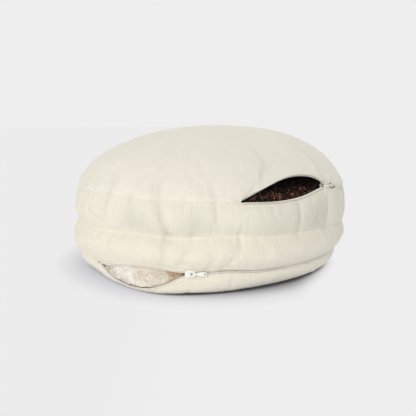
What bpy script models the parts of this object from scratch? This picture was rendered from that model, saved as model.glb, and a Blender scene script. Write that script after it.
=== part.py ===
"""Round sitting cushion: a chamber of buckwheat hulls over a chamber of wadding.

The cover is four cotton panels. Each chamber has its own zip, left partly open.
Metres, +Z up. The origin is the middle of the flat underside and -Y is the front.
Azimuths are in degrees, 0 at the front and growing toward +X.
Stations run up the outside of the cover: 0 is the middle of the underside,
1 the lower seam, 2 the waist seam, 3 the top seam and 4 the crown.
"""

import math
from collections import namedtuple

import bmesh
import bpy
from mathutils import Matrix, Vector

# ------------------------------------------------------------ driving sizes
BASE_RADIUS = 0.127
LOWER_SEAM_RADIUS = 0.157
WAIST_RADIUS = 0.160
TOP_SEAM_RADIUS = 0.1602

LOWER_SEAM_HEIGHT = 0.0222
WAIST_HEIGHT = 0.0585
TOP_SEAM_HEIGHT = 0.0955
CROWN_HEIGHT = 0.1665

LOWER_BULGE = 0.0072
UPPER_BULGE = 0.0046
BAND_ROUNDNESS = 1.2
DOME_ROUNDNESS = 1.16
DOME_LIFT = 1.1
UNDERSIDE_FULLNESS = 2.6

CLOTH = 0.0016
SEAM_HALF_GAP = 0.0004
SEAM_DRAW = 0.0010
SEAM_SPREAD = 0.0045

ZIP_HALF_GAP = 0.0022
ZIP_EASE = 3.0
COIL_RADIUS = 0.0008
COIL_OFFSET = 0.0010
COIL_DEPTH = 0.0033
TAPE_THICKNESS = 0.0008
TAPE_WIDTH = 0.0050
TAPE_CLEARANCE = 0.0015
TAPE_ROWS = 2
TAPE_SINK = 0.0007

FILLING_DEPTH = 0.0060
BASE_FILLING_DEPTH = 0.0026
SLIDER_ROOM = 0.0050
SLIDER_ROOM_TURN = 8.0
SLIDER_ROOM_REACH = 0.016
PARTING_HALF_GAP = 0.0005
LIP_STAND = 0.0026
LIP_SPREAD = 0.012
HEAP_RIM_RADIUS = 0.156
HEAP_RIM_HEIGHT = 0.0925
HEAP_SLOPE = 0.80
HEAP_STEEPENING = 7.0
HEAP_HALF_WIDTH = 21.0
HEAP_END_RISE = 0.020
HEAP_END_LIMIT = 8.0
WADDING_SWELL = 0.0026
WADDING_SWELL_SPREAD = 0.006

# stations where the flat base ends and where the crown's cap begins
FLAT_STATION = 0.5
CROWN_STATION = 4.0
CAP_STATION = 3.97
STATION_STEP = 0.01
CREASE_FADE = 0.10
CREASE_REACH = 3.0

AZIMUTH_STEPS = 80
FILLING_STEPS = 40
FRONT_CROWDING = 0.45
WELD = 0.00001

# ------------------------------------------------------------ uneven seams
Lift = namedtuple("Lift", "azimuth rise spread")

LOWER_SEAM_LIFTS = (
    Lift(azimuth=-47, rise=-0.0040, spread=9),
    Lift(azimuth=-68, rise=-0.0040, spread=16),
    Lift(azimuth=-24, rise=0.0034, spread=11),
    Lift(azimuth=7, rise=0.0022, spread=9),
    Lift(azimuth=125, rise=0.0015, spread=22),
    Lift(azimuth=-140, rise=-0.0014, spread=20),
)
LOWER_SEAM_FLARE = (
    Lift(azimuth=-25, rise=0.0062, spread=23),
    Lift(azimuth=-70, rise=0.0065, spread=15),
    Lift(azimuth=76, rise=0.0030, spread=22),
)
WAIST_LIFTS = (
    Lift(azimuth=-28, rise=0.0030, spread=13),
    Lift(azimuth=5, rise=0.0032, spread=12),
    Lift(azimuth=84, rise=-0.0035, spread=24),
    Lift(azimuth=-88, rise=-0.0035, spread=26),
    Lift(azimuth=160, rise=0.0014, spread=22),
)
WAIST_FLARE = (
    Lift(azimuth=76, rise=0.0085, spread=27),
    Lift(azimuth=-76, rise=0.0035, spread=24),
    Lift(azimuth=150, rise=-0.0012, spread=26),
)
TOP_SEAM_LIFTS = (
    Lift(azimuth=-40, rise=0.0026, spread=12),
    Lift(azimuth=24, rise=-0.0012, spread=9),
    Lift(azimuth=51, rise=0.0083, spread=11),
    Lift(azimuth=-120, rise=0.0016, spread=20),
)
TOP_SEAM_FLARE = (
    Lift(azimuth=78, rise=0.0055, spread=30),
    Lift(azimuth=-80, rise=0.0015, spread=28),
)
DOME_ROUNDNESS_CHANGES = (
    Lift(azimuth=82, rise=-0.24, spread=50),
    Lift(azimuth=-80, rise=-0.04, spread=40),
)
UPPER_BULGE_CHANGES = (
    Lift(azimuth=76, rise=-0.0020, spread=26),
)
LOWER_BULGE_CHANGES = (
    Lift(azimuth=-80, rise=0.0004, spread=30),
    Lift(azimuth=76, rise=-0.0022, spread=26),
    Lift(azimuth=172, rise=0.0012, spread=28),
)
POUCH_FULLNESS = Lift(azimuth=-20, rise=3.6, spread=24)
POUCH_SWELL = Lift(azimuth=-18, rise=0.0052, spread=22)
CROWN_LEAN = Lift(azimuth=88, rise=0.016, spread=60)

# ------------------------------------------------------------ creases
Crease = namedtuple("Crease", "azimuth station to_azimuth to_station depth width")

CREASES = (
    # upper band and the edge of the top panel
    Crease(-15.3, 2.00, -19.6, 3.14, depth=0.0026, width=0.0075),
    Crease(-44.5, 2.30, -41.5, 3.15, depth=0.0018, width=0.0075),
    Crease(-30.0, 2.20, -30.5, 3.02, depth=0.0013, width=0.0070),
    Crease(-3.4, 2.15, -3.2, 2.85, depth=0.0009, width=0.0080),
    Crease(2.7, 2.10, 2.1, 3.04, depth=0.0012, width=0.0070),
    Crease(10.9, 1.66, 10.9, 2.30, depth=0.0015, width=0.0070),
    Crease(35.3, 2.02, 34.7, 2.85, depth=0.0016, width=0.0070),
    Crease(51.4, 2.02, 50.6, 2.75, depth=0.0016, width=0.0070),
    Crease(74.0, 2.10, 72.0, 3.00, depth=0.0012, width=0.0090),
    # lower band
    Crease(-15.9, 1.10, -15.4, 2.00, depth=0.0020, width=0.0070),
    Crease(-42.0, 1.30, -40.0, 1.95, depth=0.0011, width=0.0075),
    Crease(-9.6, 1.25, -6.0, 2.00, depth=0.0017, width=0.0070),
    Crease(-0.8, 1.06, 2.6, 1.55, depth=0.0013, width=0.0070),
    Crease(5.0, 1.06, 9.9, 1.55, depth=0.0013, width=0.0070),
    Crease(61.0, 1.35, 66.0, 1.75, depth=0.0014, width=0.0080),
    Crease(76.0, 1.45, 75.0, 2.05, depth=0.0018, width=0.0090),
    # top panel, running down to the two ends of the upper mouth
    Crease(23.0, 3.36, 11.0, 3.04, depth=0.0021, width=0.0080),
    Crease(55.5, 3.32, 51.5, 3.06, depth=0.0016, width=0.0080),
    # round the back
    Crease(104.0, 2.10, 107.0, 3.10, depth=0.0015, width=0.0110),
    Crease(139.0, 2.05, 136.0, 3.08, depth=0.0019, width=0.0110),
    Crease(171.0, 2.20, 173.0, 3.10, depth=0.0014, width=0.0120),
    Crease(-152.0, 2.05, -155.0, 3.12, depth=0.0018, width=0.0110),
    Crease(-121.0, 2.15, -119.0, 3.05, depth=0.0014, width=0.0110),
    Crease(-84.0, 2.10, -87.0, 3.10, depth=0.0016, width=0.0100),
    Crease(118.0, 1.15, 121.0, 1.95, depth=0.0015, width=0.0110),
    Crease(160.0, 1.20, 157.0, 2.00, depth=0.0017, width=0.0120),
    Crease(-134.0, 1.15, -136.0, 1.95, depth=0.0015, width=0.0110),
    Crease(-98.0, 1.20, -95.0, 2.00, depth=0.0016, width=0.0110),
)

# ------------------------------------------------------------ zips
# The lip on the side named by `side` (+1 above, -1 below) stands away from the seam.
Zip = namedtuple("Zip", "name seam side start slider end gape skew fullness")

UPPER_ZIP = Zip("upper_zip", seam=3, side=1, start=11.0, slider=50.3, end=140.0,
                gape=0.0232, skew=1.27, fullness=0.75)
LOWER_ZIP = Zip("lower_zip", seam=1, side=-1, start=-51.5, slider=-8.0, end=80.0,
                gape=0.0225, skew=1.2, fullness=1.2)

# slider, seen along the zip (x), across it (y) and out of the cloth (z)
SLIDER_LENGTH = 0.0108
SLIDER_NOSE_WIDTH = 0.0080
SLIDER_TAIL_WIDTH = 0.0062
SLIDER_PLATE = 0.0012
SLIDER_LIFT = 0.0026
PLATE_CORNER = 0.0018
KEEL_LENGTH = 0.0088
KEEL_HALF_WIDTH = 0.0010
KEEL_BOTTOM = -0.0018
POST_RADIUS = 0.0007
POST_PLACE = -0.0032
COIL_SPREAD = 0.0011
COIL_SPREAD_LENGTH = 0.004
JOIN_OVERLAP = 0.0004
UNDERPLATE_TOP = -0.0053
UNDERPLATE_THICKNESS = 0.0010
UNDERPLATE_LENGTH = 0.0096
BRIDGE_LENGTH = 0.0066
BRIDGE_WIDTH = 0.0020
BRIDGE_HEIGHT = 0.0030
BRIDGE_ROUNDING = 0.0006
BRIDGE_SLOT = 0.0034
SLOT_HEIGHT = 0.0020
SLOT_SINK = 0.0001
PULL_LENGTH = 0.0145
PULL_WIDTH = 0.0050
PULL_THICKNESS = 0.0009
PULL_CORNER = 0.0016
PULL_BAR = 0.0010
PULL_BAR_PLACE = -0.0011
PULL_EYE_LENGTH = 0.0042
PULL_EYE_WIDTH = 0.0027
PULL_EYE_CORNER = 0.0006
PULL_HOLE_RADIUS = 0.0009
PULL_TILT = 1.5
STOP_SIZE = (0.0026, 0.0026, 0.0018)
STOP_ROUNDING = 0.0004
STOP_HEIGHT = -0.0005
STOP_AHEAD = 0.5

PANEL_ROWS = {
    "bottom": (0.0, 0.50, 0.60, 0.68, 0.74, 0.79, 0.84, 0.89, 0.94, 1.0),
    "band": (0.0, 0.11, 0.36, 0.64, 0.89, 1.0),
    "top": (0.0, 0.035, 0.09, 0.17, 0.27, 0.40, 0.56, 0.76, 1.0),
}
HULL_STATIONS = (2.03, 2.16, 2.5, 2.84, 3.0, 3.08, 3.17, 3.28, 3.40, 3.54, 3.70, 3.86, 4.0)
WADDING_STATIONS = (0.0, 0.46, 0.64, 0.80, 0.93, 1.0, 1.14, 1.5, 1.84, 1.97)
DISC_FRACTIONS = (0.0, 0.55)

FINISHES = {
    "cotton": ((0.84, 0.80, 0.70), 0.92),
    "tape": ((0.83, 0.79, 0.72), 0.85),
    "coil": ((0.86, 0.83, 0.77), 0.45),
    "plastic": ((0.88, 0.87, 0.83), 0.38),
    "hulls": ((0.055, 0.030, 0.022), 0.65),
    "wadding": ((0.78, 0.73, 0.64), 0.97),
    "stop": ((0.22, 0.20, 0.17), 0.45),
}


# ------------------------------------------------------------ shape of the cover
def wrapped(degrees):
    return (degrees + 180.0) % 360.0 - 180.0


def hump(azimuth, centre, spread):
    return math.exp(-(wrapped(azimuth - centre) / spread) ** 2)


def with_lifts(base, lifts, azimuth):
    return base + sum(lift.rise * hump(azimuth, lift.azimuth, lift.spread) for lift in lifts)


def ease(value):
    value = min(max(value, 0.0), 1.0)
    return value * value * (3.0 - 2.0 * value)


def lower_seam(azimuth):
    return (with_lifts(LOWER_SEAM_RADIUS, LOWER_SEAM_FLARE, azimuth),
            with_lifts(LOWER_SEAM_HEIGHT, LOWER_SEAM_LIFTS, azimuth))


def waist_seam(azimuth):
    return (with_lifts(WAIST_RADIUS, WAIST_FLARE, azimuth),
            with_lifts(WAIST_HEIGHT, WAIST_LIFTS, azimuth))


def top_seam(azimuth):
    return (with_lifts(TOP_SEAM_RADIUS, TOP_SEAM_FLARE, azimuth),
            with_lifts(TOP_SEAM_HEIGHT, TOP_SEAM_LIFTS, azimuth))


def underside(azimuth, share):
    """Rounded corner from the flat base (share 0) up to the lower seam (share 1)."""
    radius, height = lower_seam(azimuth)
    fullness = with_lifts(UNDERSIDE_FULLNESS, (POUCH_FULLNESS,), azimuth)
    swell = with_lifts(0.0, (POUCH_SWELL,), azimuth) * math.sin(math.pi * share)
    angle = math.radians(90.0 * (1.0 - share))
    across = max(math.cos(angle), 0.0)
    down = max(math.sin(angle), 0.0)
    reach = (across ** fullness + down ** fullness) ** (-1.0 / fullness)
    return (BASE_RADIUS + (radius - BASE_RADIUS) * reach * across + swell,
            height * (1.0 - reach * down))


def band(low, high, bulge, share):
    radius = low[0] + (high[0] - low[0]) * share + bulge * math.sin(math.pi * share) ** BAND_ROUNDNESS
    return radius, low[1] + (high[1] - low[1]) * share


def dome(azimuth, share):
    radius, height = top_seam(azimuth)
    angle = math.radians(90.0 * share)
    across = max(math.cos(angle), 0.0)
    spread = across ** with_lifts(DOME_ROUNDNESS, DOME_ROUNDNESS_CHANGES, azimuth)
    lean = with_lifts(0.0, (CROWN_LEAN,), azimuth) * (spread * (1.0 - spread ** 2)) ** 2
    rise = (CROWN_HEIGHT - height) * math.sin(angle) ** DOME_LIFT
    return radius * spread, height + rise + lean


def outline(azimuth, station):
    """Radius and height of the plump form, before seams and creases draw it in."""
    if station <= FLAT_STATION:
        return BASE_RADIUS * station / FLAT_STATION, 0.0
    if station <= 1.0:
        return underside(azimuth, (station - FLAT_STATION) / (1.0 - FLAT_STATION))
    if station <= 2.0:
        bulge = with_lifts(LOWER_BULGE, LOWER_BULGE_CHANGES, azimuth)
        return band(lower_seam(azimuth), waist_seam(azimuth), bulge, station - 1.0)
    if station <= 3.0:
        bulge = with_lifts(UPPER_BULGE, UPPER_BULGE_CHANGES, azimuth)
        return band(waist_seam(azimuth), top_seam(azimuth), bulge, station - 2.0)
    return dome(azimuth, station - 3.0)


def turned(azimuth, radius, height):
    angle = math.radians(azimuth)
    return Vector((radius * math.sin(angle), -radius * math.cos(angle), height))


def plump_point(azimuth, station):
    return turned(azimuth, *outline(azimuth, station))


def outward(azimuth, station):
    """Unit normal of the plump form."""
    if station <= FLAT_STATION:
        return Vector((0.0, 0.0, -1.0))
    if station >= CAP_STATION:
        return Vector((0.0, 0.0, 1.0))
    step = 2.0 * STATION_STEP
    up = plump_point(azimuth, station + step) - plump_point(azimuth, station - step)
    round_way = plump_point(azimuth + 1.0, station) - plump_point(azimuth - 1.0, station)
    return round_way.cross(up).normalized()


def run_between(azimuth, station, other):
    return (plump_point(azimuth, station) - plump_point(azimuth, other)).length


def gape(zipper, azimuth):
    """How far the open lip stands from the seam, measured up the cover."""
    share = (azimuth - zipper.start) / (zipper.slider - zipper.start)
    if not 0.0 < share < 1.0:
        return 0.0
    return zipper.gape * math.sin(math.pi * share ** zipper.skew) ** zipper.fullness


def station_along(azimuth, start, side, distance, depth=0.0):
    """The station `distance` from another, above it (+1) or below it (-1), at a depth."""
    station = float(start)
    here = plump_point(azimuth, station) - outward(azimuth, station) * depth
    step = STATION_STEP * side
    left = distance
    while left > 0.0:
        there = plump_point(azimuth, station + step) - outward(azimuth, station + step) * depth
        length = (there - here).length
        if length >= left:
            return station + step * left / length
        left -= length
        station += step
        here = there
    return station


def seam_draw(azimuth, station):
    draw = 0.0
    for seam in (1, 2, 3):
        distance = run_between(azimuth, station, seam) / SEAM_SPREAD
        draw += SEAM_DRAW * math.exp(-distance * distance)
    return draw


def crease_draw(azimuth, station, radius):
    draw = 0.0
    for crease in CREASES:
        span = crease.to_station - crease.station
        share = min(max((station - crease.station) / span, 0.0), 1.0)
        middle = crease.azimuth + (crease.to_azimuth - crease.azimuth) * share
        across = radius * math.radians(wrapped(azimuth - middle)) / crease.width
        if abs(across) > CREASE_REACH:
            continue
        past = (station - (crease.station + span * share)) / CREASE_FADE
        draw += crease.depth * math.exp(-across * across - past * past)
    return draw


def lip_stand(azimuth, station):
    """The open lip of the upper mouth stands proud, like an eyelid."""
    opening = gape(UPPER_ZIP, azimuth)
    if opening == 0.0 or station < UPPER_ZIP.seam:
        return 0.0
    distance = (run_between(azimuth, station, UPPER_ZIP.seam) - opening) / LIP_SPREAD
    return LIP_STAND * opening / UPPER_ZIP.gape * math.exp(-distance * distance)


def cover_point(azimuth, station, depth=0.0):
    """A point of the cover's outer face, or `depth` below it."""
    radius, height = outline(azimuth, station)
    point = turned(azimuth, radius, height)
    if FLAT_STATION < station < CAP_STATION:
        depth += seam_draw(azimuth, station) + crease_draw(azimuth, station, radius)
        depth -= lip_stand(azimuth, station)
    return point - outward(azimuth, station) * depth


# ------------------------------------------------------------ zips on the cover
def zip_share(azimuth, zipper):
    """1 along a zip, 0 along the plain seam, with a short ease at the zip's ends."""
    before = (azimuth - zipper.start) / ZIP_EASE + 1.0
    after = (zipper.end - azimuth) / ZIP_EASE + 1.0
    return ease(min(before, after))


def edge_distance(azimuth, seam, side):
    """How far a panel's edge lies from its seam line."""
    distance = SEAM_HALF_GAP
    for zipper in (UPPER_ZIP, LOWER_ZIP):
        if zipper.seam == seam:
            distance += (ZIP_HALF_GAP - SEAM_HALF_GAP) * zip_share(azimuth, zipper)
            if zipper.side == side:
                distance += gape(zipper, azimuth)
    return distance


def slider_azimuth(zipper):
    radius = outline(zipper.slider, zipper.seam)[0]
    return zipper.slider - math.degrees(POST_PLACE / radius)


def coil_distance(azimuth, zipper, side):
    """How far a coil's middle lies from the seam line; the slider's post parts the coils."""
    radius = outline(azimuth, zipper.seam)[0]
    along = math.radians(azimuth - slider_azimuth(zipper)) * radius - POST_PLACE
    distance = COIL_OFFSET + COIL_SPREAD * math.exp(-(along / COIL_SPREAD_LENGTH) ** 2)
    if zipper.side == side:
        distance += gape(zipper, azimuth)
    return distance


def lip_slant(zipper, side, azimuth):
    """How much longer a slanting lip makes a distance that is measured up the cover."""
    if zipper.side != side:
        return 1.0
    radius = outline(azimuth, zipper.seam)[0]
    rise = gape(zipper, azimuth + 0.5) - gape(zipper, azimuth - 0.5)
    return math.hypot(1.0, rise / (radius * math.radians(1.0)))


def coil_station(azimuth, zipper, side):
    return station_along(azimuth, zipper.seam, side, coil_distance(azimuth, zipper, side))


# ------------------------------------------------------------ scene helpers
def clear_scene():
    for scene_object in list(bpy.data.objects):
        bpy.data.objects.remove(scene_object, do_unlink=True)


def make_collection(name):
    collection = bpy.data.collections.new(name)
    bpy.context.scene.collection.children.link(collection)
    return collection


def make_material(name):
    colour, roughness = FINISHES[name]
    material = bpy.data.materials.new(name)
    material.use_nodes = True
    shader = material.node_tree.nodes["Principled BSDF"]
    shader.inputs["Base Color"].default_value = (*colour, 1.0)
    shader.inputs["Roughness"].default_value = roughness
    shader.inputs["Metallic"].default_value = 0.0
    return material


def add_object(name, data, collection, material):
    new_object = bpy.data.objects.new(name, data)
    collection.objects.link(new_object)
    if material:
        data.materials.append(material)
    return new_object


def azimuth_columns(count):
    """Azimuths from -180 to 180 that crowd together at the front and meet the zips' ends."""
    turns = [2.0 * math.pi * (column / count - 0.5) for column in range(count + 1)]
    azimuths = [math.degrees(turn - FRONT_CROWDING * math.sin(turn)) for turn in turns]
    for zipper in (UPPER_ZIP, LOWER_ZIP):
        for place in (zipper.start, zipper.slider, zipper.end):
            nearest = min(range(count + 1), key=lambda column: abs(azimuths[column] - place))
            azimuths[nearest] = place
    return azimuths


def wrapped_grid(columns, rows, place):
    """A grid whose corners are moved by place(column, row) and welded where they meet."""
    shape = bmesh.new()
    bmesh.ops.create_grid(shape, x_segments=columns, y_segments=rows, size=1.0)
    for vertex in shape.verts:
        column = round((vertex.co.x + 1.0) / 2.0 * columns)
        row = round((vertex.co.y + 1.0) / 2.0 * rows)
        vertex.co = place(column, row)
    bmesh.ops.remove_doubles(shape, verts=shape.verts, dist=WELD)
    return shape


def finish_mesh(shape, name):
    mesh = bpy.data.meshes.new(name)
    shape.to_mesh(mesh)
    shape.free()
    mesh.shade_smooth()
    return mesh


def thicken(sheet, thickness):
    solidify = sheet.modifiers.new("thickness", "SOLIDIFY")
    solidify.thickness = thickness
    solidify.offset = -1.0
    solidify.use_even_offset = True


# ------------------------------------------------------------ cover panels
def make_panel(name, rows, lower, upper, collection, material):
    """One cloth panel between two of its edges, each edge a function of the azimuth."""

    azimuths = azimuth_columns(AZIMUTH_STEPS)

    def place(column, row):
        azimuth = azimuths[column]
        low = lower(azimuth)
        station = low + (upper(azimuth) - low) * rows[row]
        return cover_point(azimuth, station)

    shape = wrapped_grid(AZIMUTH_STEPS, len(rows) - 1, place)
    panel = add_object(name, finish_mesh(shape, name), collection, material)
    thicken(panel, CLOTH)
    return panel


def edge(seam, side):
    def station(azimuth):
        return station_along(azimuth, seam, side, edge_distance(azimuth, seam, side))
    return station


def make_panels(collection, cotton):
    top_rows = PANEL_ROWS["top"]
    band_rows = PANEL_ROWS["band"]
    bottom_rows = PANEL_ROWS["bottom"]
    make_panel("bottom_panel", bottom_rows, lambda azimuth: 0.0, edge(1, -1), collection, cotton)
    make_panel("lower_band", band_rows, edge(1, 1), edge(2, -1), collection, cotton)
    make_panel("upper_band", band_rows, edge(2, 1), edge(3, -1), collection, cotton)
    make_panel("top_panel", top_rows, edge(3, 1), lambda azimuth: CROWN_STATION, collection, cotton)


# ------------------------------------------------------------ fillings
def slider_room(azimuth, station):
    room = 0.0
    for zipper in (UPPER_ZIP, LOWER_ZIP):
        distance = run_between(azimuth, station, zipper.seam) / SLIDER_ROOM_REACH
        near = hump(azimuth, slider_azimuth(zipper), SLIDER_ROOM_TURN)
        room += SLIDER_ROOM * near * math.exp(-distance ** 4)
    return room


def parting_height(azimuth, fraction):
    return WAIST_HEIGHT + (waist_seam(azimuth)[1] - WAIST_HEIGHT) * fraction


def heap_height(azimuth, radius):
    """The hulls have slumped from the upper mouth and leave a hollow under its lip."""
    middle = (UPPER_ZIP.start + UPPER_ZIP.slider) / 2.0
    away = wrapped(azimuth - middle) / HEAP_HALF_WIDTH
    inward = HEAP_RIM_RADIUS - radius
    return (HEAP_RIM_HEIGHT + inward * (HEAP_SLOPE + HEAP_STEEPENING * max(inward, 0.0))
            + HEAP_END_RISE * min(away ** 4, HEAP_END_LIMIT))


def wadding_swell(azimuth, station):
    """The wadding swells out between the lips of the lower mouth."""
    opening = gape(LOWER_ZIP, azimuth)
    if opening == 0.0 or station > LOWER_ZIP.seam:
        return 0.0
    distance = run_between(azimuth, station, LOWER_ZIP.seam) - opening / 2.0
    distance /= WADDING_SWELL_SPREAD
    return WADDING_SWELL * opening / LOWER_ZIP.gape * math.exp(-distance * distance)


def hull_point(azimuth, station):
    point = cover_point(azimuth, station, FILLING_DEPTH + slider_room(azimuth, station))
    point.z = min(point.z, heap_height(azimuth, math.hypot(point.x, point.y)))
    return point


def wadding_point(azimuth, station):
    depth = FILLING_DEPTH
    if station < 1.0:
        share = ease(2.0 * (station - FLAT_STATION) / (1.0 - FLAT_STATION))
        depth = BASE_FILLING_DEPTH + (FILLING_DEPTH - BASE_FILLING_DEPTH) * share
    depth += slider_room(azimuth, station) - wadding_swell(azimuth, station)
    return cover_point(azimuth, station, depth)


def make_filling(name, stations, side_point, disc_below, collection, material):
    """A closed filling: its outer side up or down the cover, and a disc where the chambers part."""
    gap = PARTING_HALF_GAP if disc_below else -PARTING_HALF_GAP
    rim_station = stations[0] if disc_below else stations[-1]
    discs = [("disc", fraction) for fraction in DISC_FRACTIONS]
    sides = [("side", station) for station in stations]
    rows = discs + sides if disc_below else sides + discs[::-1]

    azimuths = azimuth_columns(FILLING_STEPS)

    def place(column, row):
        azimuth = azimuths[column]
        kind, value = rows[row]
        if kind == "side":
            return side_point(azimuth, value)
        rim = side_point(azimuth, rim_station)
        return Vector((rim.x * value, rim.y * value, parting_height(azimuth, value) + gap))

    shape = wrapped_grid(FILLING_STEPS, len(rows) - 1, place)
    return add_object(name, finish_mesh(shape, name), collection, material)


# ------------------------------------------------------------ zips
def zip_azimuths(zipper):
    columns = azimuth_columns(AZIMUTH_STEPS)
    return [azimuth for azimuth in columns if zipper.start <= azimuth <= zipper.end]


def make_tape(zipper, side, side_name, collection, material):
    """Woven tape under a panel's edge, beside its coil."""
    azimuths = zip_azimuths(zipper)
    last = len(azimuths) - 1

    def place(column, row):
        azimuth = azimuths[column]
        share = row / TAPE_ROWS
        distance = TAPE_CLEARANCE * lip_slant(zipper, side, azimuth) + TAPE_WIDTH * share
        coil = coil_station(azimuth, zipper, side)
        station = station_along(azimuth, coil, side, distance, COIL_DEPTH)
        return cover_point(azimuth, station, COIL_DEPTH - TAPE_THICKNESS / 2.0 + TAPE_SINK * share)

    shape = wrapped_grid(last, TAPE_ROWS, place)
    if side < 0:
        bmesh.ops.reverse_faces(shape, faces=shape.faces)
    name = f"{zipper.name}_tape_{side_name}"
    tape = add_object(name, finish_mesh(shape, name), collection, material)
    thicken(tape, TAPE_THICKNESS)


def make_coil(zipper, side, side_name, collection, material):
    """The plastic coil on a tape's free edge, as a plain bead."""
    curve = bpy.data.curves.new(f"{zipper.name}_coil_{side_name}", "CURVE")
    curve.dimensions = "3D"
    curve.bevel_depth = COIL_RADIUS
    curve.bevel_resolution = 1
    curve.use_fill_caps = True
    azimuths = zip_azimuths(zipper)
    spline = curve.splines.new("POLY")
    spline.points.add(len(azimuths) - 1)
    for point, azimuth in zip(spline.points, azimuths):
        station = coil_station(azimuth, zipper, side)
        point.co = (*cover_point(azimuth, station, COIL_DEPTH), 1.0)
    add_object(curve.name, curve, collection, material)


def seam_frame(zipper, azimuth):
    """Axes on a seam: x along the zip away from its mouth, y up the cover, z out of the cloth."""
    middle = cover_point(azimuth, zipper.seam)
    out = outward(azimuth, zipper.seam)
    along = cover_point(azimuth + 1.0, zipper.seam) - cover_point(azimuth - 1.0, zipper.seam)
    up = out.cross(along).normalized()
    along = up.cross(out)
    rotation = Matrix((along, up, out)).transposed()
    return Matrix.Translation(middle) @ rotation.to_4x4()


def make_block(name, size, centre, collection, material=None, taper=1.0):
    """A box whose +x end is narrowed by `taper`."""
    shape = bmesh.new()
    bmesh.ops.create_cube(shape, size=1.0)
    for vertex in shape.verts:
        narrow = taper if vertex.co.x > 0.0 else 1.0
        vertex.co = Vector((vertex.co.x * size[0] + centre[0],
                            vertex.co.y * size[1] * narrow + centre[1],
                            vertex.co.z * size[2] + centre[2]))
    mesh = bpy.data.meshes.new(name)
    shape.to_mesh(mesh)
    shape.free()
    return add_object(name, mesh, collection, material)


def make_post(name, radius, low, high, place, collection):
    shape = bmesh.new()
    bmesh.ops.create_cone(shape, cap_ends=True, segments=12, radius1=radius, radius2=radius,
                          depth=high - low)
    bmesh.ops.translate(shape, verts=shape.verts, vec=(place, 0.0, (low + high) / 2.0))
    mesh = bpy.data.meshes.new(name)
    shape.to_mesh(mesh)
    shape.free()
    return add_object(name, mesh, collection, None)


def round_edges(target, width, segments):
    bevel = target.modifiers.new("rounding", "BEVEL")
    bevel.width = width
    bevel.segments = segments
    bevel.limit_method = "ANGLE"


def combine(target, other, operation):
    boolean = target.modifiers.new(other.name, "BOOLEAN")
    boolean.operation = operation
    boolean.object = other
    boolean.solver = "EXACT"


def make_slider(zipper, collection, cutters, material):
    """Slider: a plate over the cloth and one under the tapes, a keel and post, and a bridge."""
    frame = seam_frame(zipper, slider_azimuth(zipper))
    plate_top = SLIDER_LIFT + SLIDER_PLATE
    slider = make_block(f"{zipper.name}_slider",
                        (SLIDER_LENGTH, SLIDER_NOSE_WIDTH, SLIDER_PLATE),
                        (0.0, 0.0, SLIDER_LIFT + SLIDER_PLATE / 2.0), collection, material,
                        taper=SLIDER_TAIL_WIDTH / SLIDER_NOSE_WIDTH)
    corner = slider.modifiers.new("corners", "BEVEL")
    corner.width = PLATE_CORNER
    corner.segments = 3
    corner.limit_method = "ANGLE"
    slider.matrix_world = frame
    keel_height = SLIDER_LIFT + JOIN_OVERLAP - KEEL_BOTTOM
    extras = [
        make_block(f"{zipper.name}_keel",
                   (KEEL_LENGTH, 2.0 * KEEL_HALF_WIDTH, keel_height),
                   (0.0, 0.0, KEEL_BOTTOM + keel_height / 2.0), cutters),
        make_post(f"{zipper.name}_post", POST_RADIUS, UNDERPLATE_TOP - JOIN_OVERLAP,
                  KEEL_BOTTOM + JOIN_OVERLAP, POST_PLACE, cutters),
        make_block(f"{zipper.name}_underplate",
                   (UNDERPLATE_LENGTH, SLIDER_TAIL_WIDTH, UNDERPLATE_THICKNESS),
                   (0.0, 0.0, UNDERPLATE_TOP - UNDERPLATE_THICKNESS / 2.0), cutters),
    ]
    bridge = make_block(f"{zipper.name}_bridge",
                        (BRIDGE_LENGTH, BRIDGE_WIDTH, BRIDGE_HEIGHT + JOIN_OVERLAP),
                        (0.0, 0.0, plate_top + (BRIDGE_HEIGHT - JOIN_OVERLAP) / 2.0), cutters)
    round_edges(bridge, BRIDGE_ROUNDING, 2)
    extras.append(bridge)
    slot = make_block(f"{zipper.name}_slot",
                      (BRIDGE_SLOT, BRIDGE_WIDTH * 2.0, SLOT_HEIGHT),
                      (0.0, 0.0, plate_top + SLOT_HEIGHT / 2.0 - SLOT_SINK), cutters)
    for extra in extras:
        extra.matrix_world = frame
        combine(slider, extra, "UNION")
    slot.matrix_world = frame
    combine(slider, slot, "DIFFERENCE")
    for helper in extras + [slot]:
        helper.hide_render = True
        helper.display_type = "WIRE"
    return frame, plate_top


def rounded_outline(length, width, corner, start):
    """Corners of a flat rounded bar that begins at x = start."""
    points = []
    corners = ((start + length - corner, width / 2.0 - corner, 0),
               (start + corner, width / 2.0 - corner, 90),
               (start + corner, -width / 2.0 + corner, 180),
               (start + length - corner, -width / 2.0 + corner, 270))
    for x, y, first in corners:
        for step in range(4):
            angle = math.radians(first + 30 * step)
            points.append((x + corner * math.cos(angle), y + corner * math.sin(angle)))
    return points


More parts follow.
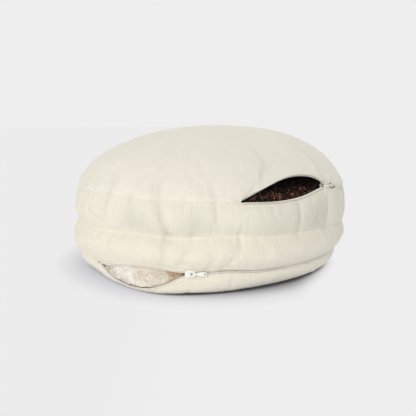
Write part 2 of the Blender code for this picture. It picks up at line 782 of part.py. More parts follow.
def make_pull(zipper, frame, plate_top, collection, material):
    """Flat pull: an eye whose bar passes under the bridge, and a small hole at its tip."""
    curve = bpy.data.curves.new(f"{zipper.name}_pull", "CURVE")
    curve.dimensions = "2D"
    curve.fill_mode = "BOTH"
    curve.extrude = PULL_THICKNESS / 2.0
    tip_hole = PULL_LENGTH - PULL_WIDTH / 2.0
    outlines = (
        rounded_outline(PULL_LENGTH, PULL_WIDTH, PULL_CORNER, 0.0),
        rounded_outline(PULL_EYE_LENGTH, PULL_EYE_WIDTH, PULL_EYE_CORNER, PULL_BAR),
        rounded_outline(2.0 * PULL_HOLE_RADIUS, 2.0 * PULL_HOLE_RADIUS, PULL_HOLE_RADIUS * 0.99,
                        tip_hole - PULL_HOLE_RADIUS),
    )
    for points in outlines:
        spline = curve.splines.new("POLY")
        spline.points.add(len(points) - 1)
        for point, (x, y) in zip(spline.points, points):
            point.co = (x, y, 0.0, 1.0)
        spline.use_cyclic_u = True
    pull = add_object(curve.name, curve, collection, material)
    height = plate_top + SLOT_HEIGHT / 2.0
    place = Matrix.Translation((PULL_BAR_PLACE, 0.0, height))
    tilt = Matrix.Rotation(math.radians(PULL_TILT), 4, "Y")
    pull.matrix_world = frame @ place @ tilt


def make_stop(zipper, collection, material):
    stop = make_block(f"{zipper.name}_stop", STOP_SIZE, (0.0, 0.0, 0.0), collection, material)
    round_edges(stop, STOP_ROUNDING, 2)
    azimuth = zipper.start + STOP_AHEAD
    stop.matrix_world = seam_frame(zipper, azimuth) @ Matrix.Translation((0.0, 0.0, STOP_HEIGHT))


def make_zip(zipper, collection, cutters, materials):
    for side, side_name in ((1, "above"), (-1, "below")):
        make_tape(zipper, side, side_name, collection, materials["tape"])
        make_coil(zipper, side, side_name, collection, materials["coil"])
    frame, plate_top = make_slider(zipper, collection, cutters, materials["plastic"])
    make_pull(zipper, frame, plate_top, collection, materials["plastic"])


def main():
    clear_scene()
    collection = make_collection("zafu_cushion")
    cutters = make_collection("shaping_tools")
    materials = {name: make_material(name) for name in FINISHES}
    make_panels(collection, materials["cotton"])
    make_filling("hull_filling", HULL_STATIONS, hull_point, True, collection, materials["hulls"])
    make_filling("wadding_filling", WADDING_STATIONS, wadding_point, False, collection,
                 materials["wadding"])
    make_zip(UPPER_ZIP, collection, cutters, materials)
    make_zip(LOWER_ZIP, collection, cutters, materials)
    make_stop(LOWER_ZIP, collection, materials["stop"])


main()
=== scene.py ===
"""Looks of a round two-chamber sitting cushion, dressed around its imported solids.

The upper chamber holds buckwheat hulls and the lower one wadding. Each has its own zip, left
partly open. Azimuths are in degrees, 0 at the front (-Y) and growing toward +X. Stations run up
the outside of the cover: 0 is the middle of the underside, 1 the lower seam, 2 the waist seam,
3 the top seam and 4 the crown. An arc is a length up the cover from station 0, in metres.
"""

import math
from collections import namedtuple

import bmesh
import bpy
import numpy as np
from mathutils import Matrix, Vector, noise


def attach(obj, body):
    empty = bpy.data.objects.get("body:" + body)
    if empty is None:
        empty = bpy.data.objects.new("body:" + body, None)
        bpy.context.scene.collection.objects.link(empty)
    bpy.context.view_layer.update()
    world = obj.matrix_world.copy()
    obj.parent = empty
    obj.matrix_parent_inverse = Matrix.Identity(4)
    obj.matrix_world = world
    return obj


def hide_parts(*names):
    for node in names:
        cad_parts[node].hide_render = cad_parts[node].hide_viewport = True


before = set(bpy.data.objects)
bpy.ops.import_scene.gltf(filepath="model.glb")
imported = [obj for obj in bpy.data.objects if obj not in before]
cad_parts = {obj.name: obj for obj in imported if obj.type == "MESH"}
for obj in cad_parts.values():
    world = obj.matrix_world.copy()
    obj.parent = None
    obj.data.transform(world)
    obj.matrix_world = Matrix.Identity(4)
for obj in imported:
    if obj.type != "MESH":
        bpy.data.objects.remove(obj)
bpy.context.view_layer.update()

# ------------------------------------------------------------ sizes shared with the solids
BASE_RADIUS = 0.127
LOWER_SEAM_RADIUS = 0.157
WAIST_RADIUS = 0.160
TOP_SEAM_RADIUS = 0.1602

LOWER_SEAM_HEIGHT = 0.0222
WAIST_HEIGHT = 0.0585
TOP_SEAM_HEIGHT = 0.0955
CROWN_HEIGHT = 0.1665

LOWER_BULGE = 0.0072
UPPER_BULGE = 0.0046
BAND_ROUNDNESS = 1.2
DOME_ROUNDNESS = 1.16
DOME_LIFT = 1.1
UNDERSIDE_FULLNESS = 2.6

SEAM_DRAW = 0.0010
SEAM_SPREAD = 0.0045

ZIP_EASE = 2.0
COIL_OFFSET = 0.0009

FILLING_DEPTH = 0.0060
BASE_FILLING_DEPTH = 0.0026
PARTING_HALF_GAP = 0.0005
LIP_STAND = 0.0026
LIP_SPREAD = 0.012
HEAP_RIM_RADIUS = 0.156
HEAP_RIM_HEIGHT = 0.0925
HEAP_SLOPE = 0.80
HEAP_STEEPENING = 7.0
HEAP_HALF_WIDTH = 21.0
HEAP_END_RISE = 0.020
HEAP_END_LIMIT = 8.0
WADDING_SWELL = 0.0026
WADDING_SWELL_SPREAD = 0.006

FLAT_STATION = 0.5
FLAT_NORMAL_STATION = 0.45
CROWN_STATION = 4.0
CAP_STATION = 3.97
STATION_STEP = 0.01
CREASE_FADE = 0.10
FOLD_WINDOW = 12.0
FOLD_END_SHARE = 0.55
FOLD_RIDGE = 0.45
FOLD_RIDGE_PLACE = 1.7
PLEAT_RIDGE = 0.5
PLEAT_RIDGE_PLACE = 1.9
FRONT_CROWDING = 0.45
POST_PLACE = -0.0032
COIL_SPREAD = 0.0011
COIL_SPREAD_LENGTH = 0.004

# a smooth change of a size around one azimuth
Lift = namedtuple("Lift", "azimuth rise spread")
# smooth noise that lifts a surface
Wave = namedtuple("Wave", "rise size seed")

LOWER_SEAM_LIFTS = (
    Lift(-47, -0.0040, 9),
    Lift(-68, -0.0040, 16),
    Lift(-24, 0.0034, 11),
    Lift(7, 0.0022, 9),
    Lift(125, 0.0015, 22),
    Lift(-140, -0.0014, 20),
)
LOWER_SEAM_FLARE = (
    Lift(-25, 0.0062, 23),
    Lift(-70, 0.0065, 15),
    Lift(76, 0.0030, 22),
)
WAIST_LIFTS = (
    Lift(-28, 0.0030, 13),
    Lift(5, 0.0032, 12),
    Lift(84, -0.0035, 24),
    Lift(-88, -0.0035, 26),
    Lift(160, 0.0014, 22),
)
WAIST_FLARE = (
    Lift(76, 0.0085, 27),
    Lift(-76, 0.0035, 24),
    Lift(150, -0.0012, 26),
)
TOP_SEAM_LIFTS = (
    Lift(-40, 0.0026, 12),
    Lift(24, -0.0012, 9),
    Lift(51, 0.0083, 11),
    Lift(-120, 0.0016, 20),
)
TOP_SEAM_FLARE = (
    Lift(78, 0.0055, 30),
    Lift(-80, 0.0015, 28),
)
DOME_ROUNDNESS_CHANGES = (
    Lift(82, -0.24, 50),
    Lift(-80, -0.04, 40),
)
UPPER_BULGE_CHANGES = (
    Lift(76, -0.0020, 26),
)
LOWER_BULGE_CHANGES = (
    Lift(-80, 0.0004, 30),
    Lift(76, -0.0022, 26),
    Lift(172, 0.0012, 28),
)
POUCH_FULLNESS = Lift(-20, 3.6, 24)
POUCH_SWELL = Lift(-18, 0.0052, 22)
CROWN_LEAN = Lift(88, 0.016, 60)

# a trough between two places on the cover
Crease = namedtuple("Crease", "azimuth station to_azimuth to_station depth width")

# broad troughs, nearly all of them the solids' own
CREASES = (
    Crease(-15.3, 2.00, -19.6, 3.14, 0.0023, 0.0062),
    Crease(-44.5, 2.30, -41.5, 3.15, 0.0018, 0.0075),
    Crease(-30.0, 2.20, -30.5, 3.02, 0.0013, 0.0070),
    Crease(-3.4, 2.15, -3.2, 2.85, 0.0009, 0.0080),
    Crease(2.7, 2.10, 2.1, 3.04, 0.0012, 0.0070),
    Crease(10.9, 1.66, 10.9, 2.04, 0.0010, 0.0070),
    Crease(35.3, 2.02, 34.7, 2.85, 0.0016, 0.0070),
    Crease(51.4, 2.02, 50.6, 2.75, 0.0016, 0.0070),
    Crease(74.0, 2.10, 72.0, 3.00, 0.0012, 0.0090),
    Crease(-15.9, 1.10, -15.4, 2.00, 0.0020, 0.0070),
    Crease(-42.0, 1.30, -40.0, 1.95, 0.0011, 0.0075),
    Crease(-9.6, 1.25, -6.0, 2.00, 0.0017, 0.0070),
    Crease(-0.8, 1.06, 2.6, 1.55, 0.0011, 0.0070),
    Crease(5.0, 1.06, 9.9, 1.55, 0.0011, 0.0070),
    Crease(61.0, 1.35, 66.0, 1.75, 0.0014, 0.0080),
    Crease(76.0, 1.45, 75.0, 2.05, 0.0018, 0.0090),
    Crease(27.0, 3.34, 11.5, 3.04, 0.0017, 0.0080),
    Crease(55.5, 3.32, 51.5, 3.06, 0.0016, 0.0080),
    Crease(104.0, 2.10, 107.0, 3.10, 0.0015, 0.0110),
    Crease(139.0, 2.05, 136.0, 3.08, 0.0019, 0.0110),
    Crease(171.0, 2.20, 173.0, 3.10, 0.0014, 0.0120),
    Crease(-152.0, 2.05, -155.0, 3.12, 0.0018, 0.0110),
    Crease(-121.0, 2.15, -119.0, 3.05, 0.0014, 0.0110),
    Crease(-84.0, 2.10, -87.0, 3.10, 0.0016, 0.0100),
    Crease(118.0, 1.15, 121.0, 1.95, 0.0015, 0.0110),
    Crease(160.0, 1.20, 157.0, 2.00, 0.0017, 0.0120),
    Crease(-134.0, 1.15, -136.0, 1.95, 0.0015, 0.0110),
    Crease(-98.0, 1.20, -95.0, 2.00, 0.0016, 0.0110),
)

# finer folds in the cloth: a trough with a soft ridge on each side
FRONT_FOLDS = (
    Crease(-16.1, 2.02, -18.9, 3.10, 0.0011, 0.0024),
    Crease(-19.3, 2.55, -21.0, 3.16, 0.0006, 0.0022),
    Crease(-42.2, 2.55, -41.9, 3.14, 0.0009, 0.0024),
    Crease(-30.2, 2.62, -30.6, 3.06, 0.0008, 0.0022),
    Crease(2.9, 2.35, 2.2, 3.00, 0.0006, 0.0024),
    Crease(10.9, 1.70, 10.9, 2.02, 0.0005, 0.0024),
    Crease(35.5, 2.08, 34.9, 2.78, 0.0009, 0.0022),
    Crease(51.3, 2.06, 50.7, 2.70, 0.0009, 0.0022),
    Crease(43.5, 2.20, 44.5, 2.44, 0.0005, 0.0028),
    Crease(-15.9, 1.20, -15.9, 1.98, 0.0009, 0.0024),
    Crease(-9.4, 1.35, -6.0, 1.98, 0.0008, 0.0024),
    Crease(-41.6, 1.40, -40.0, 1.98, 0.0005, 0.0024),
    Crease(-0.8, 1.10, 2.5, 1.45, 0.0003, 0.0034),
    Crease(5.2, 1.10, 9.8, 1.45, 0.0004, 0.0034),
    Crease(17.5, 3.17, 12.5, 3.03, 0.0007, 0.0024),
    Crease(26.0, 3.38, 19.5, 3.19, 0.0007, 0.0034),
    Crease(54.3, 3.38, 50.5, 3.18, 0.0008, 0.0034),
    Crease(59.0, 3.30, 56.0, 3.04, 0.0006, 0.0028),
)


Scatter = namedtuple("Scatter", "count station reach depth low_width high_width")

# small puckers that start on a seam; reach and width vary from one to the next
PUCKERS = (
    Scatter(46, 3.02, 0.22, 0.0015, 0.0022, 0.0050),
    Scatter(40, 2.97, -0.55, 0.0012, 0.0022, 0.0042),
    Scatter(40, 2.03, 0.50, 0.0012, 0.0022, 0.0042),
    Scatter(44, 1.97, -0.55, 0.0013, 0.0022, 0.0045),
    Scatter(40, 1.03, 0.50, 0.0013, 0.0022, 0.0045),
    Scatter(34, 0.97, -0.25, 0.0012, 0.0025, 0.0050),
)
PUCKER_SEED = 23
PUCKER_PLACES = (0.1, 0.9)
PUCKER_LEAN = 1.6
PUCKER_REACHES = (0.35, 1.0)
PUCKER_DEPTHS = (0.3, 1.0)
FRONT_LOW = -62.0
FRONT_HIGH = 62.0
FRONT_CALM = 0.11


def scattered_folds():
    """The seams' puckers all round, calmer at the front, where the cloth is smooth."""
    random = np.random.default_rng(PUCKER_SEED)
    folds = []
    for scatter in PUCKERS:
        for number in range(scatter.count):
            azimuth = 360.0 * (number + random.uniform(*PUCKER_PLACES)) / scatter.count - 180.0
            calm = FRONT_CALM if FRONT_LOW < azimuth < FRONT_HIGH else 1.0
            folds.append(Crease(
                azimuth, scatter.station, azimuth + random.normal(scale=PUCKER_LEAN),
                scatter.station + scatter.reach * random.uniform(*PUCKER_REACHES),
                depth=scatter.depth * random.uniform(*PUCKER_DEPTHS) * calm,
                width=random.uniform(scatter.low_width, scatter.high_width)))
    return tuple(folds)


FOLDS = FRONT_FOLDS + scattered_folds()

# painted shade: greyer stretches of the upper band, on its lower part where it turns in toward the waist
BAND_PAINTED_SHADES = (
    Lift(-27.0, 0.58, 8.0),
    Lift(-6.0, 0.53, 6.0),
    Lift(24.0, 0.53, 8.5),
    Lift(44.0, 1.00, 6.5),
    Lift(118.0, 0.47, 12.0),
    Lift(163.0, 0.48, 14.0),
    Lift(-140.0, 0.48, 13.0),
    Lift(-92.0, 0.47, 12.0),
)
BAND_SHADE_STATION = 2.36
BAND_SHADE_SPREAD = 0.42
WAIST_EASE = 0.02
# painted shade in troughs: full at this depth, weaker below the waist, stronger in folds
TROUGH_SHADE_DEPTH = 0.0064
LOW_TROUGH_SHADE = 0.35
FOLD_SHADE = 1.6

Pleat = namedtuple("Pleat", "azimuth spread station slant depth width")

# short folds that run round the cover, where the lower chamber sags
PLEATS = (
    Pleat(76, 8, 1.50, 0.004, 0.0012, 0.0011),
    Pleat(74, 9, 1.40, 0.005, 0.0012, 0.0011),
    Pleat(75, 7, 1.30, 0.004, 0.0009, 0.0011),
    Pleat(84, 6, 1.84, 0.006, 0.0016, 0.0018),
)

# small rises of the waist seam where folds cross it
WAIST_NOTCHES = (
    Lift(-15.6, 0.0010, 1.7),
    Lift(-6.2, 0.0021, 1.8),
    Lift(11.2, 0.0021, 1.9),
    Lift(37.0, 0.0012, 2.6),
)
WAIST_WAVE = Wave(0.0005, 0.014, 31)

Zip = namedtuple("Zip", "name seam side start slider end gape skew fullness lip_gap coil_sink tape_sink")

UPPER_ZIP = Zip("upper_zip", seam=3, side=1, start=11.0, slider=50.3, end=140.0,
                gape=0.0232, skew=1.27, fullness=0.75,
                lip_gap=0.0029, coil_sink=0.0004, tape_sink=0.0017)
LOWER_ZIP = Zip("lower_zip", seam=1, side=-1, start=-51.5, slider=-8.0, end=80.0,
                gape=0.0225, skew=1.2, fullness=1.2,
                lip_gap=0.0020, coil_sink=0.0001, tape_sink=0.0010)
ZIPS = (UPPER_ZIP, LOWER_ZIP)

# ------------------------------------------------------------ sizes of the dressing
CLOTH = 0.0011
COLUMNS = 560
STATION_TABLE = np.linspace(0.0, CROWN_STATION, 801)
NORMAL_REACH = 0.004
EDGE_ROWS = (0.0, 0.0003, 0.0008, 0.0015, 0.0021, 0.0028, 0.0036, 0.0047, 0.0062, 0.0080)
HIDDEN_EDGE_ROWS = 4
SEWN_HALF_GAP = 0.00002
SEWN_FOLD_SHARE = 0.35
TUCKED_HALF_GAP = 0.0001
CONCEAL_START = 5.5
CONCEAL_EASE = 3.0
HIDING_GAPE = 0.625
FOLD_STEPS = 3
TURN_IN = 0.0030
INNER_ROWS = 14
WELD_DISTANCE = 0.000002

UNDULATIONS = (Wave(0.0011, 0.050, 1), Wave(0.00033, 0.020, 2))
SEAM_PUCKERS = (Wave(0.00030, 0.0085, 0), Wave(0.00018, 0.003825, 5))
PUCKER_REACH = 0.010
BASE_EASE = 0.08
SEAM_RELIEF = {1: 0.55, 2: 0.165, 3: 0.55}
CLOSED_GAPE = 0.004
TOP_SEAM_FILL = 0.0012
TOP_SEAM_FILL_SPREAD = 0.010

STITCH_INSET = 0.0021
STITCH_GROOVE = 0.00042
STITCH_GROOVE_SPREAD = 0.0007
STITCH_PITCH = 0.0029
STITCH_LENGTH = 0.0023
STITCH_RADIUS = 0.00021
STITCH_SIDES = 6
STITCH_RINGS = ((-0.5, 0.15), (-0.38, 0.75), (0.0, 1.0), (0.38, 0.75), (0.5, 0.15))
STITCH_LIFT = 0.15
STITCH_OVERRUN = 2.0
SEAM_RADIUS = 0.162
BAND_RADIUS = 0.163
ZIP_RADIUS = 0.160

TAPE_THICKNESS = 0.0005
TAPE_COLUMNS = 300
TAPE_OFFSETS = (-0.0005, 0.0002, 0.0009, 0.0018, 0.0032, 0.0050, 0.0075)

COIL_COLUMNS = 1200
COIL_PITCH = 0.00125
COIL_CROSS = 0.00072
COIL_DEEP = 0.00040
COIL_WIRE = 0.00024
LIP_SINK = 0.0016
END_SINK = 0.0034
COIL_TURN_STEPS = 10
COIL_SIDES = 5

Plate = namedtuple("Plate", "length nose tail squareness place")

SLIDER_TOP = Plate(0.0110, 0.0080, 0.0066, 2.9, 0.0)
SLIDER_HOLE = Plate(0.0017, 0.0017, 0.0017, 2.0, 0.0015)
SLIDER_FOOT = Plate(0.01034, 0.00736, 0.006072, 2.9, 0.0)
SLIDER_POST = Plate(0.0026, 0.0016, 0.0007, 2.4, POST_PLACE)
BRIDGE_SECTION = Plate(0.0022, 0.0009, 0.0009, 3.0, 0.0)
PULL_LOOP = Plate(0.0052, 0.0048, 0.0042, 3.2, 0.0008)
PULL_LOOP_HOLE = Plate(0.0034, 0.0030, 0.0026, 3.0, 0.0008)
PULL_NECK = Plate(0.0048, 0.0019, 0.0019, 3.0, 0.0054)
PULL_LEAF = Plate(0.0100, 0.0036, 0.0046, 3.4, 0.0120)
PULL_EYE = Plate(0.0019, 0.0019, 0.0019, 2.0, 0.0148)
PULL_EYE_RIM = Plate(0.0034, 0.0034, 0.0034, 2.0, 0.0148)
PULL_EYE_RIM_HOLE = Plate(0.00198, 0.00198, 0.00198, 2.0, 0.0148)

Layer = namedtuple("Layer", "plate low high rounding hole")

SLIDER_LAYERS = (
    Layer(SLIDER_TOP, 0.0015, 0.0030, 0.0006, SLIDER_HOLE),
    Layer(SLIDER_FOOT, -0.0034, -0.0025, 0.0004, None),
    Layer(SLIDER_POST, -0.0027, 0.0018, 0.0002, None),
)
# heights above the pull's underside
PULL_LAYERS = (
    Layer(PULL_LOOP, 0.0, 0.0009, 0.0003, PULL_LOOP_HOLE),
    Layer(PULL_NECK, 0.0, 0.0009, 0.0003, None),
    Layer(PULL_LEAF, 0.0, 0.0009, 0.0003, PULL_EYE),
    Layer(PULL_EYE_RIM, -0.0001, 0.0012, 0.0002, PULL_EYE_RIM_HOLE),
)
BRIDGE_PLACE = -0.0016
BRIDGE_LENGTH = 0.0044
BRIDGE_FOOT = 0.0026
BRIDGE_RISE = 0.0024
BRIDGE_SQUARENESS = 0.55
BRIDGE_STEPS = 19
BRIDGE_SIDES = 14
PULL_LOW = 0.0033
PULL_LEAN = 0.10
PULL_BEND_PLACE = 0.0015

HULL_COUNT = 3600
HULL_SEED = 11
HULL_LENGTH = 0.0038
HULL_PALE_SHARE = 0.20
HULL_SIZES = (0.78, 1.12)
HULL_STATIONS = (2.985, 3.30)
HULL_DEPTH = 0.0012
HULL_SCATTER = (-0.0006, 0.0012)
HULL_PALE_TONES = (0.86, 1.05)
HULL_TONE_SHAPE = (1.2, 2.6)
# painted shade: hulls above the lit height, under the standing lip, are painted up to this much darker
HULL_PAINTED_SHADE = 0.92
# wing radius and height, hollow radius and height
HUSK_RINGS = ((0.46, -0.04, 0.20, -0.10), (0.30, 0.46, 0.16, 0.18))
# painted light and shade on each husk: its wings full, its tips and hollows painted darker
HUSK_TIP_PAINTED_SHADE = 0.55
HUSK_HOLLOW_PAINTED_SHADE = 0.15
HEAP_COLUMNS = 300
HEAP_SIDE_STATIONS = (2.03, 2.16, 2.5, 2.84)
# first station, last station and count
HEAP_RIM_ROWS = (2.96, 3.5, 34)
HEAP_TOP_ROWS = (3.52, CROWN_STATION, 12)
HEAP_BUMPS = Wave(0.0009, 0.006, 4)
HEAP_TONE = 0.12
HULL_LIT_HEIGHT = 0.1005
HULL_SHADE_REACH = 0.0075
FIBRE_COUNT = 520
FIBRE_STEPS = 9
FIBRE_LENGTHS = (0.004, 0.012)
FIBRE_BEND = 0.35
FIBRE_RADII = (0.00005, 0.00010)
FIBRE_LIFT = 0.0002
FIBRE_LOFT = 0.0012
FIBRE_LOW_MARGIN = 0.0008
FIBRE_HIGH_MARGIN = 0.0006
FIBRE_LEAST_LIMIT = 0.0009
FIBRE_LEAST_GAPE = 0.004
FIBRE_SHARES = (0.08, 0.92)
FIBRE_TONES = (0.55, 1.0)
FIBRE_SEED = 5
WADDING_RISE = 0.0007
WADDING_LIP_FILL = 0.0030
WADDING_LUMPS = (Wave(0.0015, 0.013, 7), Wave(0.0008, 0.0055, 8))
WADDING_CURLS = Wave(0.0008, 0.0035, 9)
WADDING_CURL_RISE = 0.0005

# where the wadding fills the mouth: how far past the lips, over what length, from what gape
Mask = namedtuple("Mask", "margin ease least rise")

WADDING_SHOWN = Mask(0.0012, 0.0026, 0.0020, 0.0060)
WADDING_PACKED = Mask(0.0085, 0.0040, 0.0008, 0.0028)

WADDING_TONE = 0.59
WADDING_PALE_END = Lift(-38.0, 0.24, 4.5)
# painted shade: dark brown along the rim where the wadding meets the lips
WADDING_RIM_PAINTED_SHADE = 0.46
WADDING_RIM_SHADE_CHANGES = (Lift(-40.0, -0.30, 6.0), Lift(-10.0, -0.10, 4.0))
WADDING_TUFT = Lift(-34.0, 0.34, 3.4)
WADDING_TUFT_SLANT = 8.5
# painted light and shade on the lumps: lighter on their tops, darker in their dips
WADDING_RELIEF_SHADING = 110.0
WADDING_TAN_END = Lift(-13.0, -0.36, 3.0)
WADDING_FRONT_COLUMNS = 260
WADDING_BACK_COLUMNS = 60
WADDING_SIDE_STATIONS = (1.14, 1.5, 1.84, 1.97)
WADDING_BASE_STATIONS = (0.0, 0.3, 0.46)
WADDING_MOUTH_ROWS = (0.52, 1.04, 58)

BILLOW_COLUMNS = 208
BILLOW_ROWS = ((0.0, 0.5, 3), (0.5, 1.0, 12), (1.0, 2.0, 13), (2.0, 3.0, 13), (3.0, 4.0, 40))
BILLOW_FRAMES = 20
MOUTH_HELD_BELOW = 0.004
MOUTH_HELD_ABOVE = 0.006
BILLOW_CLOTH = {
    "quality": 6, "mass": 0.3, "air_damping": 2.0, "tension_stiffness": 15.0,
    "compression_stiffness": 15.0, "shear_stiffness": 5.0, "bending_stiffness": 0.6,
    "shrink_min": -0.018, "use_pressure": True, "uniform_pressure_force": 4.0,
    "vertex_group_mass": "held",
}
BILLOW_LIMIT = 0.0024
BILLOW_SHARE = 0.85
BILLOW_GAIN = 0.72
BILLOW_BASE_FADE = 0.35
BILLOW_CALM = Lift(32.0, -0.60, 20.0)


# ------------------------------------------------------------ shape of the cover
def wrapped(degrees):
    return (degrees + 180.0) % 360.0 - 180.0


def hump(azimuth, centre, spread):
    return np.exp(-(wrapped(azimuth - centre) / spread) ** 2)


def with_lifts(base, lifts, azimuth):
    return base + sum(lift.rise * hump(azimuth, lift.azimuth, lift.spread) for lift in lifts)


def ease(value):
    value = np.clip(value, 0.0, 1.0)
    return value * value * (3.0 - 2.0 * value)


SEAMS = {
    1: (LOWER_SEAM_RADIUS, LOWER_SEAM_FLARE, LOWER_SEAM_HEIGHT, LOWER_SEAM_LIFTS),
    2: (WAIST_RADIUS, WAIST_FLARE, WAIST_HEIGHT, WAIST_LIFTS),
    3: (TOP_SEAM_RADIUS, TOP_SEAM_FLARE, TOP_SEAM_HEIGHT, TOP_SEAM_LIFTS),
}


def seam_line(seam, azimuth):
    """Radius and height of the seam at a station."""
    radius, flare, height, lifts = SEAMS[seam]
    return with_lifts(radius, flare, azimuth), with_lifts(height, lifts, azimuth)


def underside(azimuth, share):
    """Rounded corner from the flat base (share 0) up to the lower seam (share 1)."""
    radius, height = seam_line(1, azimuth)
    fullness = with_lifts(UNDERSIDE_FULLNESS, (POUCH_FULLNESS,), azimuth)
    swell = with_lifts(0.0, (POUCH_SWELL,), azimuth) * np.sin(np.pi * share)
    angle = np.radians(90.0 * (1.0 - share))
    across = np.maximum(np.cos(angle), 0.0)
    down = np.maximum(np.sin(angle), 0.0)
    reach = (across ** fullness + down ** fullness) ** (-1.0 / fullness)
    return (BASE_RADIUS + (radius - BASE_RADIUS) * reach * across + swell,
            height * (1.0 - reach * down))


def band(seam, bulge, changes, azimuth, share):
    """Bulging side band from one seam (share 0) up to the next (share 1)."""
    radius, height = seam_line(seam, azimuth)
    high_radius, high_height = seam_line(seam + 1, azimuth)
    round_out = np.maximum(np.sin(np.pi * share), 0.0) ** BAND_ROUNDNESS
    round_out = with_lifts(bulge, changes, azimuth) * round_out
    return radius + (high_radius - radius) * share + round_out, height + (high_height - height) * share


def dome(azimuth, share):
    """Leaning dome from the top seam (share 0) up to the crown (share 1)."""
    radius, height = seam_line(3, azimuth)
    angle = np.radians(90.0 * share)
    across = np.maximum(np.cos(angle), 0.0)
    spread = across ** with_lifts(DOME_ROUNDNESS, DOME_ROUNDNESS_CHANGES, azimuth)
    lean = with_lifts(0.0, (CROWN_LEAN,), azimuth) * (spread * (1.0 - spread ** 2)) ** 2
    rise = (CROWN_HEIGHT - height) * np.sin(angle) ** DOME_LIFT
    return radius * spread, height + rise + lean


def outline(azimuth, station):
    """Radius and height of the plump form, for arrays of azimuths and stations."""
    azimuth, station = np.broadcast_arrays(np.asarray(azimuth, float), np.asarray(station, float))
    radius = np.array(BASE_RADIUS * station / FLAT_STATION)
    height = np.zeros_like(radius)
    regions = (
        (FLAT_STATION, 1.0, lambda a, s: underside(a, (s - FLAT_STATION) / (1.0 - FLAT_STATION))),
        (1.0, 2.0, lambda a, s: band(1, LOWER_BULGE, LOWER_BULGE_CHANGES, a, s - 1.0)),
        (2.0, 3.0, lambda a, s: band(2, UPPER_BULGE, UPPER_BULGE_CHANGES, a, s - 2.0)),
        (3.0, math.inf, lambda a, s: dome(a, np.minimum(s - 3.0, 1.0))),
    )
    for low, high, shape in regions:
        inside = (station > low) & (station <= high)
        if inside.any():
            radius[inside], height[inside] = shape(azimuth[inside], station[inside])
    return radius, height


def turned(azimuth, radius, height):
    angle = np.radians(azimuth)
    return np.stack([radius * np.sin(angle), -radius * np.cos(angle), height + 0.0 * angle], axis=-1)


def plump(azimuth, station):
    return turned(azimuth, *outline(azimuth, station))


def unit(vectors):
    return vectors / np.maximum(np.linalg.norm(vectors, axis=-1, keepdims=True), 1e-12)


def outward(azimuth, station):
    """Unit normals of the plump form."""
    azimuth, station = np.broadcast_arrays(np.asarray(azimuth, float), np.asarray(station, float))
    step = 2.0 * STATION_STEP
    middle = np.clip(station, FLAT_STATION, CAP_STATION)
    up = plump(azimuth, middle + step) - plump(azimuth, middle - step)
    round_way = plump(azimuth + 1.0, middle) - plump(azimuth - 1.0, middle)
    normal = unit(np.cross(round_way, up))
    normal[station <= FLAT_STATION] = (0.0, 0.0, -1.0)
    normal[station >= CAP_STATION] = (0.0, 0.0, 1.0)
    return normal


def gape(zipper, azimuth):
    """How far the open lip stands from the seam, measured up the cover."""
    share = (np.asarray(azimuth, float) - zipper.start) / (zipper.slider - zipper.start)
    inside = np.clip(share, 0.0, 1.0)
    opening = np.maximum(np.sin(np.pi * inside ** zipper.skew), 0.0) ** zipper.fullness
    return np.where((share > 0.0) & (share < 1.0), zipper.gape * opening, 0.0)


def seam_distance(azimuth, station, seam):
    """Straight distance from each point of the plump form to a seam, or to another station."""
    return np.linalg.norm(plump(azimuth, station) - plump(azimuth, seam), axis=-1)


def seam_draw(azimuth, station):
    return sum(SEAM_DRAW * np.exp(-(seam_distance(azimuth, station, seam) / SEAM_SPREAD) ** 2)
               for seam in SEAMS)


def crease_place(crease, azimuth, station, radius):
    """How far across a crease each point lies, in crease widths, and how far past its ends."""
    span = crease.to_station - crease.station
    share = np.clip((station - crease.station) / span, 0.0, 1.0)
    middle = crease.azimuth + (crease.to_azimuth - crease.azimuth) * share
    across = radius * np.radians(wrapped(azimuth - middle)) / crease.width
    past = (station - (crease.station + span * share)) / CREASE_FADE
    return across, past, share


def crease_draw(azimuth, station, radius):
    draw = np.zeros_like(radius)
    for crease in CREASES:
        across, past, _ = crease_place(crease, azimuth, station, radius)
        draw += crease.depth * np.exp(-across ** 2 - past ** 2)
    return draw


def fold_draw(azimuth, station, radius):
    draw = np.zeros_like(radius)
    columns = azimuth[:, 0]
    for fold in FOLDS:
        middle = (fold.azimuth + fold.to_azimuth) / 2.0
        near = np.abs(wrapped(columns - middle)) < FOLD_WINDOW
        across, past, share = crease_place(fold, azimuth[near], station[near], radius[near])
        fullness = FOLD_END_SHARE + (1.0 - FOLD_END_SHARE) * np.sin(np.pi * share)
        ridge = np.exp(-(np.abs(across) - FOLD_RIDGE_PLACE) ** 2)
        draw[near] += fold.depth * np.exp(-past ** 2) * fullness * (
            np.exp(-across ** 2) - FOLD_RIDGE * ridge)
    return draw


def pleat_draw(azimuth, station):
    """Short folds along the cover: a crease below a soft ridge."""
    draw = np.zeros_like(station)
    for pleat in PLEATS:
        beside = wrapped(azimuth - pleat.azimuth)
        middle = pleat.station + pleat.slant * beside
        away = seam_distance(azimuth, station, middle) * np.sign(station - middle) / pleat.width
        strength = pleat.depth * np.exp(-(beside / pleat.spread) ** 4)
        ridge = np.exp(-(away - PLEAT_RIDGE_PLACE) ** 2)
        draw += strength * (np.exp(-away ** 2) - PLEAT_RIDGE * ridge)
    return draw


def lip_stand(azimuth, station):
    """The open lip of the upper mouth stands proud, like an eyelid."""
    opening = gape(UPPER_ZIP, azimuth)
    distance = (seam_distance(azimuth, station, UPPER_ZIP.seam) - opening) / LIP_SPREAD
    stand = LIP_STAND * opening / UPPER_ZIP.gape * np.exp(-distance ** 2)
    return np.where(station < UPPER_ZIP.seam, 0.0, stand)


def draw_depth(azimuth, station):
    """Depth of the seams' and creases' troughs, less the stand of the open lip."""
    radius = outline(azimuth, station)[0]
    depth = seam_draw(azimuth, station) + crease_draw(azimuth, station, radius)
    depth -= lip_stand(azimuth, station)
    return np.where((station > FLAT_STATION) & (station < CAP_STATION), depth, 0.0)


